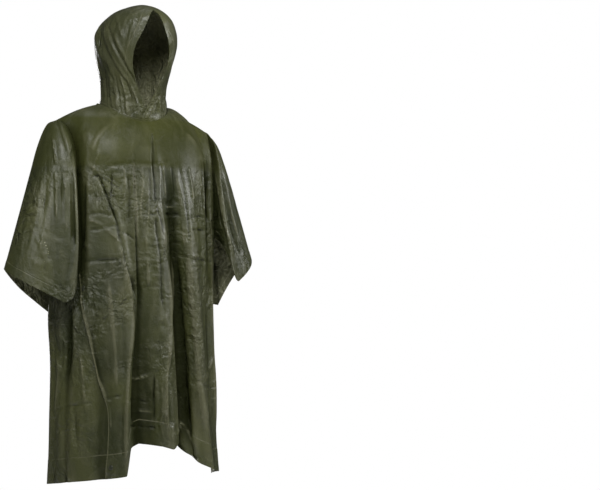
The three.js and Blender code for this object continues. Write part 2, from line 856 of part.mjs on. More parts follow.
function hoodPoint(side, turn, z) {
  const section = {};
  for (const column of ['y', 'half', 'front', 'back']) {
    section[column] = straightAlong(HOOD_SECTIONS, 'z', z, column);
  }
  const across = Math.sin(turn * DEGREE);
  const ahead = Math.cos(turn * DEGREE);
  const depth = ahead > 0 ? section.front : section.back;
  let fold = 0;
  for (const row of HOOD_FOLDS) {
    if (row.side === side) {
      const rise = Math.min(Math.max((z - row.low) / (row.high - row.low), 0), 1);
      const centre = row.angle + row.drift * rise;
      const fade = row.low < 0 ? 1 - rise : Math.sin(Math.PI * rise);
      fold += row.depth * fade * bump(turnBetween(turn, centre), row.width, row.width);
    }
  }
  const nearSeam = smoothStep(0, 30, z - neckHeight(turn));
  const chin = smoothStep(CHIN_LAP_ANGLE, CHIN_LAP_ANGLE - 12, turn) * smoothStep(CHIN_LAP_TOP, CHIN_LAP_TOP - 25, z);
  const lap = side < 0 ? -(LAP_INSET + 1) * chin : 0;
  const centred = smoothStep(180, 168, turn) * smoothStep(CROWN_Z, CROWN_Z - 30, z);
  const move = fold * nearSeam * centred + lap;
  const outward = new THREE.Vector2(across / Math.max(section.half, 20), -ahead / depth).normalize();
  return new THREE.Vector3(
    side * (section.half * across + outward.x * move),
    section.y - depth * ahead + outward.y * move,
    z,
  );
}

function rimTurn(z) {
  if (z >= FACE_TOP_Z) {
    return 0;
  }
  const opening = straightAlong(FACE_OPENING, 'z', z, 'half');
  const half = straightAlong(HOOD_SECTIONS, 'z', z, 'half');
  return Math.asin(opening / half) / DEGREE;
}

// Heights of the hood's rows above the gathers: a sine brings them closer towards the crown
function hoodLevels() {
  const levels = [];
  for (let i = 0; i <= HOOD_ROWS; i += 1) {
    levels.push(mix(HOOD_LOW_Z, CROWN_Z, Math.sin(90 * DEGREE * (i / HOOD_ROWS))));
  }
  return levels;
}

// One half of the hood: its rows rise from the neck seam to the crown seam
function hoodHalf(side) {
  const sheet = new Sheet();
  const levels = hoodLevels();
  const seamRows = [-NECK_SKIRT, 0, 9, 19];
  const heights = (turn, index) => {
    if (index < seamRows.length) {
      return neckHeight(turn) + seamRows[index];
    }
    return levels[index - seamRows.length];
  };
  const rowCount = seamRows.length + levels.length;
  const rows = [];
  for (let r = 0; r < rowCount; r += 1) {
    const rimHeight = heights(0, r);
    const start = rimTurn(rimHeight);
    const casing = HEM_WIDTH / 118 / DEGREE;
    const line = [];
    for (let c = 0; c <= HOOD_COLUMNS; c += 1) {
      const turn = c < 3
        ? start + [0, casing - 1.4, casing][c]
        : mix(start + casing, 180, (c - 2) / (HOOD_COLUMNS - 2));
      const z = heights(Math.abs(turn), r);
      const closed = (c === 0 && rimHeight >= FACE_TOP_Z) || c === HOOD_COLUMNS || r === rowCount - 1;
      const point = hoodPoint(side, turn, z);
      if (closed) {
        point.x = side * SEAM_GAP;
      }
      const extra = c < 2 && r > 1 && rimHeight < FACE_TOP_Z ? HEM_EXTRA : 0;
      line.push(sheet.add(point, { extra, level: closed ? 'x' : null }));
    }
    rows.push(line);
  }
  const grid = side < 0 ? rows : rows.map((line) => line.slice().reverse());
  sheet.grid(grid);
  return sheet;
}

// Snaps

function snapDisc() {
  const profile = [
    new THREE.Vector2(0, 0),
    new THREE.Vector2(SNAP_RADIUS, 0),
    new THREE.Vector2(SNAP_RADIUS, SNAP_THICKNESS * 0.45),
    new THREE.Vector2(SNAP_RADIUS * 0.78, SNAP_THICKNESS * 0.9),
    new THREE.Vector2(SNAP_RADIUS * 0.4, SNAP_THICKNESS),
    new THREE.Vector2(0, SNAP_THICKNESS),
  ];
  return new THREE.LatheGeometry(profile, 20).rotateX(Math.PI / 2);
}

function lapFrame(edgeRows, inward, z) {
  const angle = along(edgeRows, 'z', z, 'angle') + inward * LAP_ANGLE * 0.5;
  const point = trunkPoint(angle, z);
  const across = trunkPoint(angle + 1.6, z).sub(trunkPoint(angle - 1.6, z));
  const down = trunkPoint(angle, z - 6).sub(trunkPoint(angle, z + 6));
  const normal = down.cross(across).normalize();
  const turnPerLength = 1.6 / (across.length() / 2);
  const rises = [];
  for (let i = 0; i < 16; i += 1) {
    const around = i * 22.5 * DEGREE;
    const aside = SNAP_RADIUS * 1.3 * Math.cos(around);
    const rim = trunkPoint(angle + aside * turnPerLength, z + SNAP_RADIUS * 1.3 * Math.sin(around));
    rises.push(rim.sub(point).dot(normal));
  }
  return { point, normal, highest: Math.max(0, ...rises), lowest: Math.min(0, ...rises) };
}

function addSnaps(group, name, edgeRows, inward, heights) {
  heights.forEach((z, index) => {
    const frame = lapFrame(edgeRows, inward, z);
    const place = index === 0 ? 'upper' : 'lower';
    const cap = named(`snap_cap_${name}_${place}`, snapDisc(), SNAP_OLIVE, 0.45);
    const outside = HALF_WALL + SNAP_STAND_OFF + frame.highest;
    cap.position.copy(frame.point).addScaledVector(frame.normal, outside);
    cap.quaternion.setFromUnitVectors(new THREE.Vector3(0, 0, 1), frame.normal);
    group.add(cap);
    const back = named(`snap_back_${name}_${place}`, snapDisc(), SNAP_OLIVE, 0.45);
    const inside = LAP_INSET + HALF_WALL + SNAP_STAND_OFF - frame.lowest;
    back.position.copy(frame.point).addScaledVector(frame.normal, -inside);
    back.quaternion.setFromUnitVectors(new THREE.Vector3(0, 0, 1), frame.normal.clone().negate());
    group.add(back);
  });
}

function named(name, geometry, colour, roughness) {
  const material = new THREE.MeshStandardMaterial({ color: colour, roughness, metalness: 0 });
  const mesh = new THREE.Mesh(geometry, material);
  mesh.name = name;
  return mesh;
}

const poncho = new THREE.Group();
poncho.add(named('front_panel', bodyPanel(1).wall(), OLIVE, 0.42));
poncho.add(named('back_panel', bodyPanel(-1).wall(), OLIVE, 0.42));
poncho.add(named('hood_right', hoodHalf(-1).wall(), OLIVE, 0.42));
poncho.add(named('hood_left', hoodHalf(1).wall(), OLIVE, 0.42));
addSnaps(poncho, 'right', RIGHT_SIDE_EDGE, 1, RIGHT_SNAP_HEIGHTS);
addSnaps(poncho, 'left', LEFT_SIDE_EDGE, -1, LEFT_SNAP_HEIGHTS);

export default poncho;
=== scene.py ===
import math
from collections import namedtuple

import bpy
import numpy as np
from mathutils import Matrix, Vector, noise


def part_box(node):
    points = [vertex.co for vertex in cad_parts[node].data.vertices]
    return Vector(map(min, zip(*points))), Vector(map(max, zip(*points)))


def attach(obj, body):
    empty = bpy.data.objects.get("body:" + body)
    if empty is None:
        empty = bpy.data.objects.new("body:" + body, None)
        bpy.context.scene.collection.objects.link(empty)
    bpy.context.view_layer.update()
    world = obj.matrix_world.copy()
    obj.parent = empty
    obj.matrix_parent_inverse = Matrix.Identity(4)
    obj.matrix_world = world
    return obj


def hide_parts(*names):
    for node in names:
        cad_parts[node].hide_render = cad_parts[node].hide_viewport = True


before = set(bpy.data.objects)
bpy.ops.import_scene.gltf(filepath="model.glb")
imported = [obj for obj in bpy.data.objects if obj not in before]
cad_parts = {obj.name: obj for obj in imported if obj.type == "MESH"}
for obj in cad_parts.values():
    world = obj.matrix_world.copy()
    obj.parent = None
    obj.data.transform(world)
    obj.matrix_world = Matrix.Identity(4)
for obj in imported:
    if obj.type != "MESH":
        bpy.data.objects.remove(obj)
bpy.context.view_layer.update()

# Hooded rain poncho, worn and hollow. Shapes are worked out in millimetres and made in metres.
# +Z is up, the wearer faces -Y and the wearer's right hand is at -X.
METRE = 0.001

# Cloth
HALF_WALL = 0.55
HEM_EXTRA = 0.7
HEM_WIDTH = 24
HEM_LINE = 66
LAP_ANGLE = 7
LAP_INSET = 2.8

# Main levels and the neck hole
CROWN_Z = 312
CHEST_Z = -160
NECK_FRONT_Z = -18
NECK_BACK_Z = 42
NECK_RADIUS = 98
NECK_CLEARANCE = 1.3
NECK_SKIRT = 6

# Angles round the body: 0 at the centre of the front, +90 at the wearer's left, 180 at the back
RIGHT_VALLEY = -58
LEFT_VALLEY = 74
RIGHT_BACK_VALLEY = -122
LEFT_BACK_VALLEY = -238
SHOULDER_START = 0.62
RIGHT_UNDERARM_Z = -436
LEFT_UNDERARM_Z = -340

# The view that the creases are placed in: a grid seen from the front left, x right and y down
VIEW_TURN = math.radians(22)
VIEW_DISTANCE = 3600
VIEW_HEIGHT = -350
GRID_STEP = 2.85
GRID_AXIS_X = 132.5
GRID_LEVEL_Y = 240.8


def rows(names, values):
    row = namedtuple("Row", names)
    return [row(*value) for value in values]


# Rings round the trunk: half width to each side, depth to front and back
TRUNK_RINGS = rows("z right left front back", [
    (-160, 236, 236, 138, 132),
    (-300, 236, 236, 146, 142),
    (-440, 234, 234, 152, 150),
    (-560, 240, 230, 158, 158),
    (-700, 230, 230, 166, 166),
    (-900, 229, 235, 178, 178),
    (-1040, 231, 243, 186, 188),
])
# Height of the bottom hem round the body
HEM_HEIGHTS = rows("angle z", [
    (-240, -952),
    (-225, -944),
    (-205, -956),
    (-190, -946),
    (-172, -960),
    (-155, -956),
    (-138, -990),
    (-122, -1020),
    (-107, -1030),
    (-63, -1004),
    (-37, -992),
    (-22, -981),
    (-19.2, -910),
    (-12, -903),
    (3, -911),
    (9, -920),
    (17, -907),
    (23, -914),
    (28, -940),
    (33, -966),
    (42, -990),
    (57, -1014),
    (75, -1020),
    (88, -1012),
    (100, -984),
    (110, -960),
    (120, -952),
])
# Side edges of the front panel, which lap over the back panel
RIGHT_SIDE_EDGE = rows("z angle", [
    (-436, -58),
    (-470, -55),
    (-633, -45.5),
    (-724, -41),
    (-815, -34.5),
    (-900, -34.5),
    (-1040, -37.5),
])
# The same on the wearer's left
LEFT_SIDE_EDGE = rows("z angle", [
    (-340, 74),
    (-500, 77),
    (-700, 80),
    (-900, 82),
    (-1040, 82),
])
# Large folds of the trunk: a ridge has a positive depth, a trough a negative one
Fold = namedtuple("Fold", "name before after stations")
TRUNK_FOLDS = [
    Fold("right armpit valley", 34, 46, rows("z angle depth", [
        (-40, -58, -3), (-160, -58, -22), (-320, -58, -28), (-440, -58, -20), (-560, -57, -4),
        (-640, -57, 0),
    ])),
    Fold("long ridge right of centre", 78, 16, rows("z angle depth", [
        (-150, -36, 0), (-230, -31, 5), (-330, -23, 8), (-500, -19, 13), (-700, -19, 18),
        (-900, -21.5, 28), (-1040, -22, 32),
    ])),
    Fold("hollow beside the long ridge", 26, 60, rows("z angle depth", [
        (-420, -10, 0), (-600, -11, -8), (-800, -12, -16), (-1040, -12, -24),
    ])),
    Fold("centre ridge", 42, 26, rows("z angle depth", [
        (-90, -2, 0), (-200, 0, 5), (-420, 4, 11), (-700, 7, 19), (-950, 9, 24),
    ])),
    Fold("deep trough left of centre", 31, 31, rows("z angle depth", [
        (-110, 9, 0), (-234, 14, -13), (-405, 20, -34), (-600, 24, -46), (-800, 25, -50),
        (-950, 24, -42),
    ])),
    Fold("ridge left of the trough", 32, 54, rows("z angle depth", [
        (-140, 25, 0), (-280, 28, 9), (-450, 32, 17), (-650, 36, 22), (-850, 40, 24),
        (-1040, 44, 26),
    ])),
    Fold("trough before the left side", 26, 28, rows("z angle depth", [
        (-60, 57, 0), (-140, 57, -14), (-250, 58, -16), (-380, 58, -6), (-800, 60, -5),
        (-1040, 61, -3),
    ])),
    Fold("left side ridge", 30, 44, rows("z angle depth", [
        (-90, 66, 0), (-180, 67, 8), (-500, 71, 10), (-1040, 76, 14),
    ])),
    Fold("right side trough", 34, 30, rows("z angle depth", [
        (-480, -66, -6), (-650, -68, -12), (-820, -73, -6), (-1040, -74, -12),
    ])),
    Fold("right side ridge", 46, 38, rows("z angle depth", [
        (-440, -92, 2), (-600, -93, 8), (-820, -96, 11), (-1040, -98, 15),
    ])),
    Fold("right back trough", 36, 42, rows("z angle depth", [
        (-120, -124, 0), (-240, -123, -16), (-420, -122, -18), (-700, -120, -12),
        (-1040, -117, -18),
    ])),
    Fold("right back ridge", 42, 34, rows("z angle depth", [
        (-150, -146, 0), (-350, -143, 8), (-650, -140, 13), (-1040, -137, 18),
    ])),
    Fold("trough right of the back centre", 30, 38, rows("z angle depth", [
        (-190, -166, 0), (-400, -163, -9), (-700, -160, -14), (-1040, -155, -17),
    ])),
    Fold("back centre ridge", 46, 36, rows("z angle depth", [
        (-140, -181, 0), (-380, -178, 8), (-720, -176, 12), (-1040, -173, 16),
    ])),
    Fold("trough left of the back centre", 36, 32, rows("z angle depth", [
        (-160, -196, 0), (-420, -196, -12), (-760, -193, -16), (-1040, -190, -19),
    ])),
    Fold("left back ridge", 34, 42, rows("z angle depth", [
        (-180, -213, 0), (-430, -212, 9), (-760, -210, 13), (-1040, -207, 17),
    ])),
    Fold("left back trough", 38, 36, rows("z angle depth", [
        (-120, -237, 0), (-240, -237, -14), (-420, -235, -16), (-760, -229, -12),
        (-1040, -224, -18),
    ])),
]
# Sleeves along t from the shoulder to the cuff
Sleeve = namedtuple("Sleeve", "side arm front_corner back_corner front_fullness back_fullness")
RIGHT_SLEEVE = Sleeve(-1, *(rows("t x y z", path) for path in (
    [(0, -225, 0, -17), (0.1, -252, 0, -31), (0.24, -277, 0, -86), (0.45, -300, 0, -168),
     (0.7, -330, 0, -278), (1, -371, 0, -427)],
    [(0, -225, 0, -17), (0.12, -232, -52, -50), (0.3, -222, -88, -130), (0.5, -217, -104, -240),
     (0.75, -220, -112, -370), (1, -242, -112, -514)],
    [(0, -225, 0, -17), (0.12, -236, 48, -50), (0.3, -238, 78, -135), (0.5, -238, 92, -250),
     (0.75, -228, 100, -400), (1, -206, 104, -558)],
)), 0.9, 0.4)
LEFT_SLEEVE = Sleeve(1, *(rows("t x y z", path) for path in (
    [(0, 228, 0, -32), (0.1, 251, 0, -61), (0.28, 277, 0, -126), (0.6, 321, 0, -241),
     (1, 371, 0, -390)],
    [(0, 228, 0, -32), (0.14, 240, -44, -75), (0.35, 244, -74, -160), (0.65, 256, -88, -290),
     (1, 292, -94, -467)],
    [(0, 228, 0, -32), (0.14, 244, 44, -78), (0.35, 254, 74, -180), (0.65, 276, 84, -340),
     (1, 313, 88, -545)],
)), 0.9, 0.8)
# Hood: sections by height, with the centre of each at y
HOOD_SECTIONS = rows("z y half front back", [
    (-30, 0, 98, 98, 98),
    (8, 0, 97, 99, 98),
    (32, 1, 95, 104, 97),
    (54, 2, 88, 112, 93),
    (82, 0, 88, 120, 98),
    (112, -7, 93, 127, 113),
    (140, -14, 101, 134, 125),
    (167, -19, 107, 137, 131),
    (200, -23, 112, 141, 136),
    (230, -25, 111, 142, 133),
    (258, -29, 99, 138, 122),
    (275, -32, 84, 128, 108),
    (287, -34, 69, 113, 94),
    (297, -36, 51, 94, 78),
    (304, -36, 36, 72, 62),
    (309, -34, 21, 48, 46),
    (312, -30, 0, 24, 30),
])
# Half width of the face opening by height: past the centre below the chin
FACE_OPENING = rows("z half", [
    (-30, -18),
    (-8, -11),
    (19, 0),
    (54, 20),
    (82, 32.5),
    (112, 44.5),
    (140, 52),
    (167, 52.5),
    (192, 47.5),
    (225, 33),
    (255, 20),
    (272, 12),
    (284, 0),
])
FACE_TOP_Z = 284
CHIN_LAP_TOP = 62
CHIN_LAP_ANGLE = 34
# Gathers above the neck seam and long wrinkles of the hood, by angle from the face
HOOD_FOLDS = rows("side angle low high drift depth width", [
    (-1, 30, -20, 112, -10, 4.5, 9),
    (-1, 44, -20, 128, -12, -5, 9),
    (-1, 57, -20, 118, -10, 5, 10),
    (-1, 72, -20, 96, -8, -4, 10),
    (-1, 88, -20, 84, -4, 4, 11),
    (-1, 108, -20, 100, 4, -4, 12),
    (-1, 130, -20, 90, 6, 4, 12),
    (-1, 152, -20, 104, 4, -4, 12),
    (-1, 40, 60, 290, 62, -5, 15),
    (-1, 58, 96, 270, 58, 4, 17),
    (1, 34, -20, 104, -10, 4, 9),
    (1, 50, -20, 120, -9, -5, 10),
    (1, 68, -20, 92, -6, 4, 11),
    (1, 90, -20, 110, -2, -4, 12),
    (1, 114, -20, 86, 5, 4, 12),
    (1, 140, -20, 106, 6, -4, 12),
    (1, 44, 70, 280, 54, -5, 16),
])
HOOD_LOW_Z = 72


# Curves and blends over arrays

def along(table, key, place, column):
    keys = np.array([getattr(row, key) for row in table], float)
    values = np.array([getattr(row, column) for row in table], float)
    if keys[-1] < keys[0]:
        keys, values = keys[::-1], values[::-1]
    last = len(keys) - 1
    low = np.maximum(np.arange(last + 1) - 1, 0)
    high = np.minimum(np.arange(last + 1) + 1, last)
    slopes = (values[high] - values[low]) / (keys[high] - keys[low])
    place = np.clip(place, keys[0], keys[-1])
    index = np.clip(np.searchsorted(keys, place, side="right") - 1, 0, last - 1)
    span = keys[index + 1] - keys[index]
    s = (place - keys[index]) / span
    return (
        (2 * s**3 - 3 * s**2 + 1) * values[index]
        + (s**3 - 2 * s**2 + s) * span * slopes[index]
        + (3 * s**2 - 2 * s**3) * values[index + 1]
        + (s**3 - s**2) * span * slopes[index + 1]
    )


def straight_along(table, key, place, column):
    keys = np.array([getattr(row, key) for row in table], float)
    values = np.array([getattr(row, column) for row in table], float)
    return np.interp(place, keys, values)


def smooth_step(low, high, value):
    s = np.clip((value - low) / (high - low), 0, 1)
    return s * s * (3 - 2 * s)


def bump(offset, before, after):
    s = np.where(offset < 0, -offset / before, offset / after)
    return np.where(s >= 1, 0, 0.5 * (1 + np.cos(np.pi * np.minimum(s, 1))))


def mix(low, high, share):
    return low + (high - low) * share


def turn_between(angle, centre):
    return (angle - centre + 180) % 360 - 180


def place(x, y, z):
    return np.stack(np.broadcast_arrays(x, y, z), axis=-1).astype(float)


# Trunk

def hem_height(angle):
    wrapped = np.where(angle < -240, angle + 360, angle)
    return straight_along(HEM_HEIGHTS, "angle", wrapped, "z")


def trunk_point(angle, z, inset=0):
    angle, z = np.broadcast_arrays(np.asarray(angle, float), np.asarray(z, float))
    side = np.sin(np.radians(angle))
    ahead = np.cos(np.radians(angle))
    level = np.minimum(z, CHEST_Z)
    half = np.where(
        side < 0, along(TRUNK_RINGS, "z", level, "right"), along(TRUNK_RINGS, "z", level, "left")
    )
    depth = np.where(
        ahead > 0, along(TRUNK_RINGS, "z", level, "front"), along(TRUNK_RINGS, "z", level, "back")
    )
    radius = np.hypot(half * side, depth * ahead)
    fold = np.zeros_like(z)
    for row in TRUNK_FOLDS:
        centre = along(row.stations, "z", z, "angle")
        offset = np.radians(turn_between(angle, centre)) * radius
        fold += along(row.stations, "z", z, "depth") * bump(offset, row.before, row.after)
    outward = np.stack([side / half, -ahead / depth])
    outward /= np.hypot(*outward)
    move = fold - inset
    return place(half * side + outward[0] * move, -depth * ahead + outward[1] * move, z)


def neck_height(turn):
    rise = 1 - np.cos(np.radians(turn) / 2) ** 6
    return NECK_FRONT_Z + (NECK_BACK_Z - NECK_FRONT_Z) * rise


def top_edge_point(angle, facing):
    centre = 0 if facing > 0 else -180
    turn = (angle - centre) * facing
    right = turn < 0
    if facing > 0:
        limit = np.where(right, -RIGHT_VALLEY, LEFT_VALLEY)
    else:
        limit = np.where(right, 180 + RIGHT_BACK_VALLEY, -180 - LEFT_BACK_VALLEY)
    share = np.minimum(np.abs(turn) / limit, 1)
    quarter = 90 * np.minimum(share / SHOULDER_START, 1)
    turn = quarter if facing > 0 else 180 - quarter
    side = np.where(right, -1, 1)
    radius = NECK_RADIUS + NECK_CLEARANCE
    x = radius * np.sin(np.radians(turn)) * side
    y = -radius * np.cos(np.radians(turn))
    y = np.where(share >= SHOULDER_START, 0, y)
    z = neck_height(turn)
    s = np.clip((share - SHOULDER_START) / (1 - SHOULDER_START), 0, 1)
    end_x = np.where(right, RIGHT_SLEEVE.arm[0].x, LEFT_SLEEVE.arm[0].x)
    end_z = np.where(right, RIGHT_SLEEVE.arm[0].z, LEFT_SLEEVE.arm[0].z)
    sag = np.where(right, -6, 4) * np.sin(np.pi * s)
    return place(mix(x, end_x, s), y, mix(z, end_z, s) - sag)


def row_share(z, angle):
    return (CHEST_Z - z) / (CHEST_Z - float(hem_height(angle)))


RIGHT_UNDERARM = row_share(RIGHT_UNDERARM_Z, RIGHT_VALLEY)
LEFT_UNDERARM = row_share(LEFT_UNDERARM_Z, LEFT_VALLEY)
HEM_START = 1 - HEM_WIDTH / 860
RowPlan = namedtuple("RowPlan", "dome upper middle lower hem")
# How steeply the cloth leaves the neck: 0 is level
NECK_SLOPE = 0.4
# A row is counted as in the part: 5 for the dome, then 6, 3 and 16 down to the hem
CAD_ROWS = [0, 5, 11, 14, 30, 32]


def row_levels(plan):
    counts = [plan.dome, plan.upper, plan.middle, plan.lower, plan.hem]
    levels = [np.array([0.0])]
    for start, end, count in zip(CAD_ROWS, CAD_ROWS[1:], counts):
        levels.append(np.linspace(start, end, count + 1)[1:])
    return np.concatenate(levels)


def trunk_height(angle, row):
    share = np.interp(row, CAD_ROWS[1:], [0, LEFT_UNDERARM, RIGHT_UNDERARM, HEM_START, 1])
    return mix(CHEST_Z, hem_height(angle), share)


def panel_point(angle, row, facing, inset=0):
    angle, row = np.broadcast_arrays(np.asarray(angle, float), np.asarray(row, float))
    trunk = trunk_point(angle, trunk_height(angle, row), inset)
    chest = trunk_point(angle, CHEST_Z)
    top = top_edge_point(angle, facing)
    quarter = np.radians(np.clip(row / CAD_ROWS[1], 0, 1) * 90)
    outward = np.sin(quarter)[..., None]
    down = 1 - np.cos(quarter)
    centre = 0 if facing > 0 else -180
    from_neck = np.clip(row / CAD_ROWS[1], 0, 1)
    near_neck = NECK_SLOPE * smooth_step(50, 25, np.abs(angle - centre))
    down = mix(down, from_neck, near_neck)
    dome = mix(top, chest, outward)
    dome[..., 2] = mix(top[..., 2], chest[..., 2], down)
    return np.where((row > CAD_ROWS[1])[..., None], trunk, dome)


def side_edge(edge, row, underarm_row):
    z = trunk_height(edge[0].angle, row)
    return np.where(row <= underarm_row, edge[0].angle, along(edge, "z", z, "angle"))


def row_lengths(points):
    steps = np.linalg.norm(np.diff(points, axis=0), axis=2)
    return np.concatenate([np.zeros((1, points.shape[1])), np.cumsum(steps, axis=0)])


def column_lengths(points):
    return row_lengths(points.transpose(1, 0, 2)).T


# Creases on the view grid. depth is the height in millimetres, positive for a ridge and negative
# for a trough. before is the width on the west or lower side of the path, after on the other.
# crisp is from 0, round, to 1, sharp. start and end are the shares of the path over which it
# fades in and out. The path has the points x,y, in steps of the grid.
Crease = namedtuple("Crease", "part depth before after crisp start end path")


def creases(table):
    """Reads a table with one crease a line, under a line of column names."""
    made = []
    for line in table.strip().splitlines()[1:]:
        part, *numbers = line.split()
        path = [tuple(map(float, point.split(","))) for point in numbers[6:]]
        made.append(Crease(part, *map(float, numbers[:6]), path))
    return made


